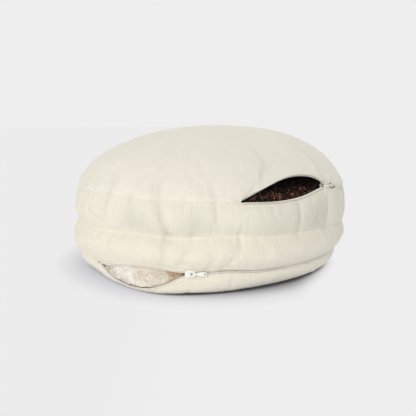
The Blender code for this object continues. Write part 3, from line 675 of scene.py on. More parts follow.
def cover_point(azimuth, station, depth=0.0):
    """Points of the solids' outer face, or `depth` below it."""
    azimuth, station = np.broadcast_arrays(np.asarray(azimuth, float), np.asarray(station, float))
    inward = (depth + draw_depth(azimuth, station))[..., None]
    return plump(azimuth, station) - outward(azimuth, station) * inward


# ------------------------------------------------------------ arcs up the cover
def azimuth_columns(count):
    """Azimuths from -180 to 180 that crowd together at the front and meet the zips' ends."""
    turns = 2.0 * np.pi * (np.arange(count + 1) / count - 0.5)
    azimuths = np.degrees(turns - FRONT_CROWDING * np.sin(turns))
    for zipper in ZIPS:
        for place in (zipper.start, zipper.slider, zipper.end):
            azimuths[np.argmin(np.abs(azimuths - place))] = place
    return azimuths


def arc_table(azimuths):
    """Arc of each tabled station, one row for each azimuth."""
    points = plump(azimuths[:, None], STATION_TABLE[None, :])
    steps = np.linalg.norm(np.diff(points, axis=1), axis=-1)
    return np.concatenate([np.zeros((len(azimuths), 1)), np.cumsum(steps, axis=1)], axis=1)


def stations_at(arcs, table):
    return np.stack([np.interp(arc, row, STATION_TABLE) for arc, row in zip(arcs, table)])


def arc_of(station, table):
    return np.array([np.interp(station, STATION_TABLE, row) for row in table])


def surface(azimuths, table, arcs):
    """Points, normals and stations of the plump form, with normals smoothed across the seams."""
    stations = stations_at(arcs, table)
    grid = np.broadcast_to(azimuths[:, None], stations.shape)
    up = (plump(grid, stations_at(arcs + NORMAL_REACH, table))
          - plump(grid, stations_at(arcs - NORMAL_REACH, table)))
    middle = np.clip(stations, FLAT_STATION, CAP_STATION)
    round_way = plump(grid + 1.0, middle) - plump(grid - 1.0, middle)
    normal = unit(np.cross(round_way, up))
    normal[stations <= FLAT_NORMAL_STATION] = (0.0, 0.0, -1.0)
    normal[stations >= CAP_STATION] = (0.0, 0.0, 1.0)
    return plump(grid, stations), normal, stations


def zip_share(azimuth, zipper):
    """1 along a zip, 0 along the plain seam, with a short ease at the zip's ends."""
    before = (azimuth - zipper.start) / ZIP_EASE
    after = (zipper.end - azimuth) / ZIP_EASE
    return ease(np.minimum(before, after))


def painted_shade_share(azimuth, station, trough):
    """Painted shade: 0 on open cloth, up to 1 in deep troughs and on the upper band's greyer stretches."""
    up = np.exp(-((station - BAND_SHADE_STATION) / BAND_SHADE_SPREAD) ** 2)
    above_waist = ease((station - 2.0) / WAIST_EASE + 0.5)
    in_band = above_waist * ease((3.0 - station) / WAIST_EASE)
    stretches = with_lifts(0.0, BAND_PAINTED_SHADES, azimuth) * up * in_band
    strength = LOW_TROUGH_SHADE + (1.0 - LOW_TROUGH_SHADE) * above_waist
    return np.clip(stretches + strength * trough / TROUGH_SHADE_DEPTH, 0.0, 1.0)


def edge_distance(azimuth, seam, side):
    """How far a panel's edge lies from its seam line."""
    distance = np.full_like(azimuth, SEWN_HALF_GAP)
    for zipper in ZIPS:
        if zipper.seam == seam:
            hidden = tucked(azimuth, zipper, side)
            half_gap = zipper.lip_gap + (TUCKED_HALF_GAP - zipper.lip_gap) * hidden
            distance += (half_gap - SEWN_HALF_GAP) * zip_share(azimuth, zipper)
            if zipper.side == side:
                distance += gape(zipper, azimuth)
    return distance


def tucked(azimuth, zipper, side):
    """1 where cloth hides the upper zip: its closed stretch, and its coil under the standing lip."""
    if zipper is not UPPER_ZIP:
        return np.zeros_like(azimuth)
    closed = ease((azimuth - zipper.slider - CONCEAL_START) / CONCEAL_EASE)
    if side != zipper.side:
        return closed
    return np.maximum(closed, ease(gape(zipper, azimuth) / (HIDING_GAPE * zipper.gape)))


def seam_wave(azimuth, seam):
    """How far the waist seam wavers up the cover from its line."""
    if seam != 2:
        return np.zeros_like(azimuth)
    return with_lifts(waves_at(turned(azimuth, ZIP_RADIUS, 0.0), (WAIST_WAVE,)), WAIST_NOTCHES, azimuth)


def slider_azimuth(zipper):
    radius = float(outline(zipper.slider, zipper.seam)[0])
    return zipper.slider - math.degrees(POST_PLACE / radius)


def coil_distance(azimuth, zipper, side):
    """How far a coil's middle lies from the seam line; the slider's post parts the coils."""
    radius = outline(azimuth, zipper.seam)[0]
    along = np.radians(azimuth - slider_azimuth(zipper)) * radius - POST_PLACE
    distance = COIL_OFFSET + COIL_SPREAD * np.exp(-(along / COIL_SPREAD_LENGTH) ** 2)
    if zipper.side == side:
        distance = distance + gape(zipper, azimuth)
    return distance


# ------------------------------------------------------------ noise
def noise_at(points, size, seed=0):
    """Smooth noise, from about -1 to 1, with features of about `size`."""
    flat = np.asarray(points, float).reshape(-1, 3) / size + 17.31 * seed
    values = np.array([noise.noise(place) for place in flat.tolist()])
    return values.reshape(np.asarray(points).shape[:-1])


def waves_at(points, waves, seed=0):
    return sum(wave.rise * noise_at(points, wave.size, wave.seed + seed) for wave in waves)


# ------------------------------------------------------------ mesh helpers
def mesh_object(name, points, faces, material, smooth=True):
    mesh = bpy.data.meshes.new(name)
    corners = [[int(corner) for corner in face] for face in faces]
    mesh.from_pydata(np.asarray(points).tolist(), [], corners)
    if smooth:
        mesh.shade_smooth()
    mesh.materials.append(material)
    made = bpy.data.objects.new(name, mesh)
    bpy.context.scene.collection.objects.link(made)
    return made


def set_cloth_map(made, coordinates):
    """Gives the weave its place on the flat cloth, in metres, as a UV map."""
    layer = made.data.uv_layers.new(name="cloth")
    corners = np.zeros(len(made.data.loops), dtype=np.int32)
    made.data.loops.foreach_get("vertex_index", corners)
    layer.data.foreach_set("uv", np.asarray(coordinates, np.float32)[corners].ravel())


def set_value(made, name, values):
    attribute = made.data.attributes.new(name, "FLOAT", "POINT")
    attribute.data.foreach_set("value", np.asarray(values, np.float32).ravel())


def grid_faces(columns, rows, loop_rows=False, flip=False):
    """Quads of a grid whose points run column by column."""
    across, up = np.meshgrid(np.arange(columns - 1), np.arange(rows if loop_rows else rows - 1),
                             indexing="ij")
    above = (up + 1) % rows
    quads = np.stack([across * rows + up, (across + 1) * rows + up,
                      (across + 1) * rows + above, across * rows + above], axis=-1).reshape(-1, 4)
    return quads[:, ::-1] if flip else quads


def ring_faces(rings, sides):
    """Quads between rings of points, and a cap on each end."""
    faces = []
    for ring in range(rings - 1):
        for side in range(sides):
            here = ring * sides + side
            beside = ring * sides + (side + 1) % sides
            faces.append((here, beside, beside + sides, here + sides))
    faces.append(tuple(range(sides))[::-1])
    faces.append(tuple(range((rings - 1) * sides, rings * sides)))
    return faces


def weld(made):
    shape = bmesh.new()
    shape.from_mesh(made.data)
    bmesh.ops.remove_doubles(shape, verts=shape.verts, dist=WELD_DISTANCE)
    shape.to_mesh(made.data)
    shape.free()
    return made


def tube(path, radius, sides):
    """Points and faces of a closed tube along a path."""
    path = np.asarray(path, float)
    along = unit(np.gradient(path, axis=0))
    helper = np.where(np.abs(along[:, 2:3]) > 0.9, [[1.0, 0.0, 0.0]], [[0.0, 0.0, 1.0]])
    first = unit(np.cross(along, helper))
    second = np.cross(along, first)
    turns = np.linspace(0.0, 2.0 * np.pi, sides, endpoint=False)
    radii = np.broadcast_to(radius, (len(path),))[:, None, None]
    ring = (np.cos(turns)[None, :, None] * first[:, None, :]
            + np.sin(turns)[None, :, None] * second[:, None, :]) * radii
    return (path[:, None, :] + ring).reshape(-1, 3), ring_faces(len(path), sides)


class Heap:
    """Many small shapes gathered into one mesh."""

    def __init__(self):
        self.points = []
        self.faces = []
        self.values = []
        self.count = 0

    def add(self, points, faces, value=0.0):
        self.points.append(np.asarray(points, float))
        self.faces.extend([tuple(int(corner) + self.count for corner in face) for face in faces])
        self.values.append(np.full(len(points), value))
        self.count += len(points)

    def build(self, name, material, smooth=True):
        made = mesh_object(name, np.concatenate(self.points), self.faces, material, smooth)
        set_value(made, "tone", np.concatenate(self.values))
        return made


# ------------------------------------------------------------ materials
class Look:
    """A material, with short calls for the nodes it is made of."""

    def __init__(self, name):
        self.material = bpy.data.materials.new(name)
        self.material.use_nodes = True
        self.tree = self.material.node_tree

    def put(self, node, inputs):
        """Links a node's inputs to other sockets, or gives them numbers, vectors and colours."""
        for name, value in inputs.items():
            socket = node.inputs[name]
            if isinstance(value, bpy.types.NodeSocket):
                self.tree.links.new(value, socket)
            elif isinstance(value, tuple) and len(value) < len(socket.default_value):
                socket.default_value = (*value, 1.0)
            else:
                socket.default_value = value

    def add(self, kind, inputs, output=0, **settings):
        node = self.tree.nodes.new("ShaderNode" + kind)
        for name, value in settings.items():
            setattr(node, name, value)
        self.put(node, inputs)
        return node.outputs[output]

    def math(self, operation, *values, clamp=False):
        return self.add("Math", dict(enumerate(values)), operation=operation, use_clamp=clamp)

    def noise(self, place, scale, detail, roughness=0.55):
        return self.add("TexNoise", {"Vector": place, "Scale": scale, "Detail": detail,
                                     "Roughness": roughness})

    def fine_noise(self, scale):
        return self.noise(self.add("TexCoord", {}, "Object"), scale, 4.0, 0.6)

    def stretched_noise(self, place, stretch, detail):
        return self.noise(self.add("Mapping", {"Vector": place, "Scale": stretch}), 1.0, detail)

    def ramp(self, factor, stops):
        node = self.tree.nodes.new("ShaderNodeValToRGB")
        elements = node.color_ramp.elements
        while len(elements) < len(stops):
            elements.new(0.5)
        for element, (place, colour) in zip(elements, stops):
            element.position = place
            element.color = (*colour, 1.0)
        self.put(node, {"Fac": factor})
        return node.outputs["Color"]

    def span(self, value, low, high, start=0.0, end=1.0, shape="LINEAR"):
        """From `low` where the value is at `start` to `high` where it is at `end`."""
        return self.add("MapRange", {"Value": value, "From Min": start, "From Max": end,
                                     "To Min": low, "To Max": high}, interpolation_type=shape)

    def mix(self, kind, factor, first, second):
        return self.add("Mix", {"Factor": factor, 6: first, 7: second}, 2,
                        data_type="RGBA", blend_type=kind)

    def surface(self, inputs):
        self.put(self.tree.nodes["Principled BSDF"], inputs)
        return self.material

    def bumped(self, height, strength, distance, inputs):
        bump = self.add("Bump", {"Strength": strength, "Distance": distance, "Height": height})
        return self.surface({"Normal": bump, **inputs})

    def glowing(self, colour, strength):
        glow = self.add("Emission", {"Color": colour, "Strength": strength})
        self.put(self.tree.nodes["Material Output"], {"Surface": glow})
        return self.material


WHITE = (1.0, 1.0, 1.0)
COTTON = (0.800, 0.778, 0.680)
COTTON_SHADE = (0.755, 0.732, 0.632)
# the colour that the painted shade multiplies the cotton by
COTTON_PAINTED_SHADE = (0.820, 0.827, 0.842)
# painted light and shade: a copy of the one cotton for each panel, as each is lit; the top a little lighter
# and cooler, the bands and underside a little darker
PANEL_PAINTED_SHADING = {
    "top_panel": (1.004, 1.004, 1.014),
    "upper_band": (0.985, 0.983, 0.972),
    "lower_band": (0.998, 0.984, 0.972),
    "bottom_panel": (0.995, 0.982, 0.970),
}
YARN_PITCH = 0.00085
TAPE_YARN_PITCH = 0.00055
WARP_SLUB = (1100.0, 34.0, 1.0)
WEFT_SLUB = (34.0, 1100.0, 1.0)
FLECK_STRETCH = (900.0, 420.0, 1.0)
COTTON_BUMP = (0.55, 0.00022)
COTTON_GLOSS = {"Sheen Weight": 0.25, "Sheen Roughness": 0.5, "Specular IOR Level": 0.2}
COTTON_ROUGHNESS = (0.96, 0.82)
CLOUD_SCALE = 14.0
YARN_STRENGTH = 0.45
WEAVE_GAP_SHADE_STRENGTH = 0.55
FLECK_STRENGTH = 0.35
SLUB_HEIGHT = 0.35
PLASTIC_BUMP = (0.25, 0.00008)
PLASTIC_GRAIN = 900.0
THREAD_GRAIN = 2600.0
# painted shade in the weave: darker where the yarns dip between their crossings
WEAVE_GAP_SHADES = ((0.05, (0.80, 0.78, 0.74)), (0.55, WHITE))
FLECK_TONES = ((0.24, (0.62, 0.50, 0.36)), (0.29, WHITE))
HULL_TONES = ((0.00, (0.004, 0.003, 0.003)), (0.40, (0.018, 0.007, 0.006)),
              (0.64, (0.090, 0.030, 0.019)), (0.82, (0.36, 0.140, 0.082)), (1.00, (0.76, 0.54, 0.40)))
WADDING_TONES = ((0.00, (0.30, 0.16, 0.07)), (0.25, (0.55, 0.38, 0.23)), (0.50, (0.74, 0.67, 0.56)),
                 (0.75, (0.81, 0.77, 0.69)), (1.00, (0.94, 0.92, 0.88)))


def tinted(colour, *tint):
    """A colour times one share, or times a share for each channel."""
    shares = tint * len(colour) if len(tint) == 1 else tint
    return tuple(channel * share for channel, share in zip(colour, shares))


def weave_height(look, place, pitch):
    """Plain weave: warp and weft yarns that go over and under each other."""
    warp, weft = (look.math("MULTIPLY", look.add("SeparateXYZ", {"Vector": place}, axis), math.pi / pitch)
                  for axis in "XY")
    crossing = look.math("MULTIPLY", look.math("SINE", warp), look.math("SINE", weft))
    over = look.math("MULTIPLY_ADD", crossing, 0.5, 0.5)
    under = look.math("SUBTRACT", 1.0, over)
    yarns = [look.math("MULTIPLY", look.math("ABSOLUTE", look.math("COSINE", yarn)), shown)
             for yarn, shown in ((warp, over), (weft, under))]
    return look.math("MAXIMUM", *yarns)


def cotton_material(name, base, shade, pitch=YARN_PITCH):
    """Undyed plain-woven cotton, with slubs, flecks and a slightly uneven tone; painted shade in the
    weave's gaps, the troughs and the upper band's stretches.
    """
    look = Look(name)
    place = look.add("UVMap", {}, uv_map="cloth")
    weave = weave_height(look, place, pitch)
    slub = look.math("ADD", look.stretched_noise(place, WARP_SLUB, 2.0),
                     look.stretched_noise(place, WEFT_SLUB, 2.0))
    cloud = look.ramp(look.fine_noise(CLOUD_SCALE), ((0.30, shade), (0.70, base)))
    yarn = look.ramp(look.math("MULTIPLY", slub, 0.5),
                     ((0.37, tinted(base, 0.92)), (0.56, tinted(base, 1.04))))
    colour = look.mix("MIX", YARN_STRENGTH, cloud, yarn)
    # painted shade in the gaps between the yarns
    colour = look.mix("MULTIPLY", WEAVE_GAP_SHADE_STRENGTH, colour, look.ramp(weave, WEAVE_GAP_SHADES))
    fleck = look.stretched_noise(place, FLECK_STRETCH, 1.0)
    colour = look.mix("MULTIPLY", FLECK_STRENGTH, colour, look.ramp(fleck, FLECK_TONES))
    # painted shade: each panel's share, from its troughs and the upper band's stretches
    grey = look.add("Attribute", {}, "Fac", attribute_name="grey")
    colour = look.mix("MULTIPLY", grey, colour, COTTON_PAINTED_SHADE)
    return look.bumped(look.math("MULTIPLY_ADD", slub, SLUB_HEIGHT, weave), *COTTON_BUMP, {
        "Base Color": colour, "Roughness": look.span(weave, *COTTON_ROUGHNESS), **COTTON_GLOSS})


def plastic_material(name, base, roughness):
    """Moulded plastic with a faint mottle in its tone and gloss."""
    look = Look(name)
    fine = look.fine_noise(PLASTIC_GRAIN)
    return look.bumped(fine, *PLASTIC_BUMP, {
        "Base Color": look.ramp(fine, ((0.30, tinted(base, 0.90)), (0.62, base))),
        "Roughness": look.span(fine, roughness + 0.10, roughness - 0.06)})


def thread_material(name, base):
    """Twisted sewing thread."""
    look = Look(name)
    twist = look.noise(look.add("TexCoord", {}, "Object"), THREAD_GRAIN, 2.0)
    return look.surface({"Base Color": look.ramp(twist, ((0.25, tinted(base, 0.82)), (0.70, base))),
                         "Roughness": 0.7, "Sheen Weight": 0.2})


def filling_material(name, tones, mottle, grain, grain_depth, roughness, specular):
    """Loose filling, coloured by the tone of each small shape and a fine mottle."""
    look = Look(name)
    fine = look.fine_noise(grain)
    tone = look.add("Attribute", {}, "Fac", attribute_name="tone")
    shifted = look.math("MULTIPLY_ADD", fine, mottle, tone)
    centred = look.math("SUBTRACT", shifted, 0.5 * mottle, clamp=True)
    return look.bumped(fine, 0.5, grain_depth, {
        "Base Color": look.ramp(centred, tones), "Roughness": roughness, "Specular IOR Level": specular})


materials = {
    "tape": cotton_material("zip_tape_weave", (0.90, 0.86, 0.77), (0.86, 0.81, 0.72), TAPE_YARN_PITCH),
    "thread": thread_material("sewing_thread", (0.80, 0.74, 0.62)),
    "coil": plastic_material("nylon_coil", (0.95, 0.93, 0.87), 0.42),
    "slider": plastic_material("slider_plastic", (0.88, 0.87, 0.83), 0.36),
    "cream_slider": plastic_material("cream_slider_plastic", (0.74, 0.71, 0.62), 0.42),
    "stop": plastic_material("stop_plastic", (0.13, 0.12, 0.10), 0.42),
    "hulls": filling_material("buckwheat_husk", HULL_TONES, mottle=0.40, grain=1500.0,
                              grain_depth=0.00012, roughness=0.60, specular=0.15),
    "wadding": filling_material("loose_wadding", WADDING_TONES, mottle=0.30, grain=420.0,
                                grain_depth=0.0006, roughness=0.95, specular=0.30),
}
# each panel's copy of the cotton carries its painted light and shade
for name, tint in PANEL_PAINTED_SHADING.items():
    materials[name] = cotton_material(f"{name}_cotton", tinted(COTTON, *tint), tinted(COTTON_SHADE, *tint))


def dress(made, slot, *nodes):
    """Every piece rides on the one body and may stand for solids; its slot is not used."""
    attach(made, "root")
    if nodes:
        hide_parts(*nodes)
    return made


# ------------------------------------------------------------ how the filling swells the cloth
def seam_relief(azimuth, station):
    """Lets the tight seams sit shallower than the solids' grooves, most of all the top seam."""
    away = {seam: seam_distance(azimuth, station, seam) for seam in SEAMS}
    relief = sum(share * SEAM_DRAW * np.exp(-(away[seam] / SEAM_SPREAD) ** 2)
                 for seam, share in SEAM_RELIEF.items())
    closed = 1.0 - np.minimum(gape(UPPER_ZIP, azimuth) / CLOSED_GAPE, 1.0)
    return relief + TOP_SEAM_FILL * closed * np.exp(-(away[3] / TOP_SEAM_FILL_SPREAD) ** 2)


def billow_grid():
    azimuths = azimuth_columns(BILLOW_COLUMNS)
    stations = [0.0]
    for low, high, count in BILLOW_ROWS:
        stations += list(np.linspace(low, high, count + 1)[1:])
    return azimuths, np.array(stations)


def billow_pins(azimuths, stations):
    """1 on the seams, the base and round the open mouths, 0 where the cloth is free to swell."""
    on_seam = np.isin(np.round(stations, 6), (1.0, 2.0, 3.0)) | (stations <= FLAT_STATION)
    held = np.broadcast_to(on_seam[None, :], (len(azimuths), len(stations))).astype(float)
    table = arc_table(azimuths)
    arcs = np.stack([arc_of(station, table) for station in stations], axis=1)
    for zipper in ZIPS:
        opening = gape(zipper, azimuths)[:, None]
        beyond = zipper.side * (arcs - arc_of(float(zipper.seam), table)[:, None])
        near = (opening > 0.0) & (beyond > -MOUTH_HELD_BELOW) & (beyond < opening + MOUTH_HELD_ABOVE)
        held = np.where(near, 1.0, held)
    return held


def inflate(made, pins):
    """The cover as slack cloth, swelled by the pressure of its fillings, with its seams held."""
    group = made.vertex_groups.new(name="held")
    group.add([int(number) for number in np.flatnonzero(pins > 0.5)], 1.0, "REPLACE")
    cloth = made.modifiers.new("cloth", "CLOTH")
    for name, value in BILLOW_CLOTH.items():
        setattr(cloth.settings, name, value)
    cloth.settings.effector_weights.gravity = 0.0
    cloth.collision_settings.use_collision = False
    cloth.point_cache.frame_start = 1
    cloth.point_cache.frame_end = BILLOW_FRAMES
    scene = bpy.context.scene
    for step in range(1, BILLOW_FRAMES + 1):
        scene.frame_set(step)
    shaped = made.evaluated_get(bpy.context.evaluated_depsgraph_get())
    result = np.zeros(len(made.data.vertices) * 3, dtype=np.float32)
    shaped.data.vertices.foreach_get("co", result)
    scene.frame_set(1)
    return result.reshape(-1, 3).astype(float)


def simulate_billow():
    """How far the cloth swells or sinks once filled, on a grid of azimuths and stations."""
    azimuths, stations = billow_grid()
    grid_azimuth, grid_station = np.meshgrid(azimuths[:-1], stations[1:-1], indexing="ij")
    points = plump(grid_azimuth, grid_station)
    columns, rows = points.shape[:2]
    flat = points.reshape(-1, 3)
    faces = (grid_faces(columns + 1, rows) % len(flat)).tolist()
    base, crown = len(flat), len(flat) + 1
    for column in range(columns):
        beside = (column + 1) % columns
        faces.append((column * rows, base, beside * rows))
        faces.append((column * rows + rows - 1, beside * rows + rows - 1, crown))
    everything = np.concatenate([flat, [[0.0, 0.0, 0.0], [0.0, 0.0, CROWN_HEIGHT]]])
    mesh = bpy.data.meshes.new("billow_cloth")
    mesh.from_pydata(everything.tolist(), [], faces)
    made = bpy.data.objects.new("billow_cloth", mesh)
    bpy.context.scene.collection.objects.link(made)
    pins = billow_pins(azimuths[:-1], stations[1:-1]).ravel()
    swollen = inflate(made, np.concatenate([pins, [1.0, 0.0]]))
    bpy.data.objects.remove(made)
    bpy.data.meshes.remove(mesh)
    moved = (swollen - everything)[:len(flat)].reshape(columns, rows, 3)
    rise = np.sum(moved * outward(grid_azimuth, grid_station), axis=-1)
    weights = np.diff(azimuths)[:, None]
    evened = rise - BILLOW_SHARE * np.sum(rise * weights, axis=0) / np.sum(weights)
    near_base = ease((stations[1:-1] - FLAT_STATION) / BILLOW_BASE_FADE)
    full = np.zeros((columns + 1, rows + 2))
    calm = with_lifts(1.0, (BILLOW_CALM,), azimuths[:-1])[:, None]
    full[:-1, 1:-1] = BILLOW_LIMIT * np.tanh(BILLOW_GAIN * evened / BILLOW_LIMIT) * near_base * calm
    full[-1] = full[0]
    full[:, -1] = full[:, -2].mean()
    return azimuths, stations, full


BILLOW = simulate_billow()


def billow_at(azimuth, station):
    if BILLOW is None:
        return np.zeros_like(station)
    azimuths, stations, rise = BILLOW
    column = np.interp(azimuth, azimuths, np.arange(len(azimuths)))
    row = np.interp(station, stations, np.arange(len(stations)))
    left = np.minimum(column.astype(int), len(azimuths) - 2)
    under = np.minimum(row.astype(int), len(stations) - 2)
    across = column - left
    up = row - under
    return ((rise[left, under] * (1 - across) + rise[left + 1, under] * across) * (1 - up)
            + (rise[left, under + 1] * (1 - across) + rise[left + 1, under + 1] * across) * up)


# ------------------------------------------------------------ cover panels
class Panel:
    """One cloth panel: its outer face on a grid of azimuth columns and rows between its edges."""

    def __init__(self, name, low, high, middle_rows):
        self.name = name
        self.azimuths = azimuth_columns(COLUMNS)
        self.table = arc_table(self.azimuths)
        self.low = low
        self.high = high
        start = self.edge_arc(low)
        end = self.edge_arc(high)
        edge = np.array(EDGE_ROWS)
        low_rows = edge if low else np.array([0.0])
        high_rows = edge if high else np.array([0.0])
        shares = np.linspace(0.0, 1.0, middle_rows + 2)[1:-1]
        first = start + low_rows[-1]
        last = end - high_rows[-1]
        arcs = [start + distance for distance in low_rows]
        arcs += [first + (last - first) * share for share in shares]
        arcs += [end - distance for distance in high_rows[::-1]]
        self.arcs = np.stack(arcs, axis=1)
        self.from_low = self.arcs - start[:, None]
        self.to_high = end[:, None] - self.arcs
        self.plain, self.normals, self.stations = surface(self.azimuths, self.table, self.arcs)
        self.azimuth_grid = np.broadcast_to(self.azimuths[:, None], self.stations.shape)
        self.points = self.place()

    def edge_arc(self, side_of):
        if side_of is None:
            station = 0.0 if self.low is None and self.high is not None else CROWN_STATION
            return arc_of(station, self.table)
        seam, side = side_of
        line = arc_of(float(seam), self.table) + seam_wave(self.azimuths, seam)
        return line + side * edge_distance(self.azimuths, seam, side)

    def place(self):
        grid, stations, plain = self.azimuth_grid, self.stations, self.plain
        radius = outline(grid, stations)[0]
        folds = fold_draw(grid, stations, radius) + pleat_draw(grid, stations)
        # painted shade in troughs and folds and on the upper band's stretches
        self.grey = painted_shade_share(grid, stations, crease_draw(grid, stations, radius) + FOLD_SHADE * folds)
        depth = draw_depth(grid, stations) + folds + self.edge_detail()
        depth -= seam_relief(grid, stations) + billow_at(grid, stations)
        depth -= waves_at(plain, UNDULATIONS)
        rounding = ease((stations - FLAT_STATION) / BASE_EASE)
        placed = plain - self.normals * (depth * rounding)[..., None]
        placed[..., 2] = np.maximum(placed[..., 2], 0.0)
        return placed

    def edge_detail(self):
        """Fine puckers beside the seams, and stitch grooves beside the zips."""
        depth = np.zeros_like(self.stations)
        for side_of, distance in ((self.low, self.from_low), (self.high, self.to_high)):
            if side_of is None:
                continue
            seam = side_of[0]
            pucker = waves_at(turned(self.azimuths, ZIP_RADIUS, 0.0), SEAM_PUCKERS, seam)
            depth += pucker[:, None] * np.exp(-(distance / PUCKER_REACH) ** 1.5)
            groove = STITCH_GROOVE * np.exp(-((distance - STITCH_INSET) / STITCH_GROOVE_SPREAD) ** 2)
            depth += groove * self.zipped(seam)[:, None]
        return depth

    def at(self, azimuth, distance, from_high):
        """Point and normal of the outer face at a distance from one of the panel's edges."""
        column = np.interp(azimuth, self.azimuths, np.arange(len(self.azimuths)))
        low = int(min(math.floor(column), len(self.azimuths) - 2))
        found = []
        for here in (low, low + 1):
            distances = self.to_high[here][::-1] if from_high else self.from_low[here]
            row = np.interp(distance, distances, np.arange(len(distances)))
            row = len(distances) - 1 - row if from_high else row
            under = int(min(math.floor(row), len(distances) - 2))
            share = row - under
            point = self.points[here, under] * (1 - share) + self.points[here, under + 1] * share
            normal = self.normals[here, under] * (1 - share) + self.normals[here, under + 1] * share
            found.append((point, normal))
        share = column - low
        return (found[0][0] * (1 - share) + found[1][0] * share,
                found[0][1] * (1 - share) + found[1][1] * share)

    def build(self):
        """The cloth as a thin closed shell whose edges are turned in toward the filling."""
        rows = self.points.shape[1]
        first = 1 if self.low else 0
        last = rows - 2 if self.high else rows - 1
        inner = self.points - self.normals * CLOTH
        kept = np.linspace(HIDDEN_EDGE_ROWS if self.low else 0,
                           rows - 1 - (HIDDEN_EDGE_ROWS if self.high else 0), INNER_ROWS)
        kept = np.unique(np.round(kept).astype(int))
        outer_rows = [(self.points[:, row], row) for row in range(first, last + 1)]
        inner_rows = [(inner[:, row], row) for row in kept]
        low_rows = self.turned_edge(0, 1, self.low) if self.low else []
        high_rows = self.turned_edge(rows - 1, rows - 2, self.high) if self.high else []
        one_edged = bool(self.low and not self.high)
        if one_edged:
            chain = outer_rows[::-1] + low_rows + inner_rows
        else:
            chain = outer_rows + high_rows + inner_rows[::-1] + low_rows[::-1]
        points = np.stack([place for place, _ in chain], axis=1)
        faces = grid_faces(points.shape[0], points.shape[1], flip=one_edged,
                           loop_rows=bool(self.low and self.high))
        made = mesh_object(self.name + "_cloth", points.reshape(-1, 3), faces, materials[self.name])
        rows_used = [row for _, row in chain]
        set_cloth_map(made, self.flat_places(rows_used).reshape(-1, 2))
        set_value(made, "grey", self.grey[:, rows_used])
        return weld(made)

    def turned_edge(self, edge, before, side_of):
        """Rows that fold the edge inward: round the fold, down the allowance and back."""
        corner = self.points[:, edge]
        start = self.points[:, before]
        down = -self.normals[:, edge]
        out = corner - start
        out = unit(out - down * np.sum(out * down, axis=-1, keepdims=True))
        zipped = self.zipped(side_of[0])[:, None]
        fold = SEWN_FOLD_SHARE + (1.0 - SEWN_FOLD_SHARE) * zipped
        start = corner + (start - corner) * fold
        wall = corner + down * EDGE_ROWS[1] * fold
        places = []
        for share in np.linspace(0.0, 1.0, FOLD_STEPS + 1)[1:]:
            places.append(start * (1.0 - share) ** 2 + corner * (2.0 * share * (1.0 - share))
                          + wall * share ** 2)
        deep = CLOTH + (TURN_IN - CLOTH) * (1.0 - zipped)
        end = corner + down * deep
        places += [end, end - out * CLOTH / 2.0 + down * CLOTH / 4.0, end - out * CLOTH]
        return [(place, edge) for place in places]

    def zipped(self, seam):
        """1 where the panel's edge runs along a zip."""
        shares = [zip_share(self.azimuths, zipper) for zipper in ZIPS if zipper.seam == seam]
        return sum(shares, np.zeros_like(self.azimuths))

    def flat_places(self, map_rows):
        """Places on the flat cut: polar for the round panels, along and across for the bands."""
        angle = np.radians(self.azimuth_grid)
        if self.low and self.high:
            places = np.stack([angle * BAND_RADIUS, self.arcs], axis=-1)
        else:
            inward = self.from_low if self.low else self.to_high
            reach = inward.max(axis=1)[:, None] - inward
            places = np.stack([reach * np.sin(angle), -reach * np.cos(angle)], axis=-1)
        return places[:, map_rows]


# each edge is a seam and the side of it that the panel lies on
panels = {name: Panel(name, low, high, middle_rows) for name, low, high, middle_rows in (
    ("bottom_panel", None, (1, -1), 44),
    ("lower_band", (1, 1), (2, -1), 16),
    ("upper_band", (2, 1), (3, -1), 16),
    ("top_panel", (3, 1), None, 72),
)}
cloth_pieces = {name: dress(panel.build(), "cotton", name) for name, panel in panels.items()}


# ------------------------------------------------------------ sewing
def stitch_shape():
    """A short plump stitch along x, with unit size."""
    turns = [2.0 * math.pi * side / STITCH_SIDES for side in range(STITCH_SIDES)]
    points = [(along, wide * math.cos(turn), wide * math.sin(turn))
              for along, wide in STITCH_RINGS for turn in turns]
    return np.array(points), ring_faces(len(STITCH_RINGS), STITCH_SIDES)


STITCH_POINTS, STITCH_FACES = stitch_shape()


def add_stitch(heap, start, end, normal):
    along = end - start
    length = np.linalg.norm(along)
    along = along / length
    normal = unit(normal - along * np.dot(normal, along))
    axes = np.stack([along * length, np.cross(normal, along) * STITCH_RADIUS, normal * STITCH_RADIUS])
    middle = (start + end) / 2.0 + normal * STITCH_RADIUS * STITCH_LIFT
    heap.add(STITCH_POINTS @ axes + middle, STITCH_FACES)


def sew_edge(heap, panel, from_high, zipper):
    """A row of topstitching along one edge of a panel, beside a zip."""
    step = math.degrees(STITCH_PITCH / SEAM_RADIUS)
    reach = math.degrees(STITCH_LENGTH / SEAM_RADIUS)
    for place in np.arange(zipper.start - STITCH_OVERRUN, zipper.end + STITCH_OVERRUN, step):
        first, normal = panel.at(place, STITCH_INSET, from_high)
        last, _ = panel.at(place + reach, STITCH_INSET, from_high)
        add_stitch(heap, first, last, normal)


for zipper, above, below in ((UPPER_ZIP, "top_panel", "upper_band"),
                             (LOWER_ZIP, "lower_band", "bottom_panel")):
    stitches = Heap()
    sew_edge(stitches, panels[above], False, zipper)
    sew_edge(stitches, panels[below], True, zipper)
    dress(stitches.build(f"{zipper.name}_topstitching", materials["thread"]), "cotton")


# ------------------------------------------------------------ zips
def hidden_sink(azimuth, zipper, side):
    """How far the coil drops under the standing lip and under the cloth at the zip's ends."""
    ends = 1.0 - zip_share(azimuth, zipper)
    return LIP_SINK * tucked(azimuth, zipper, side) + END_SINK * ends


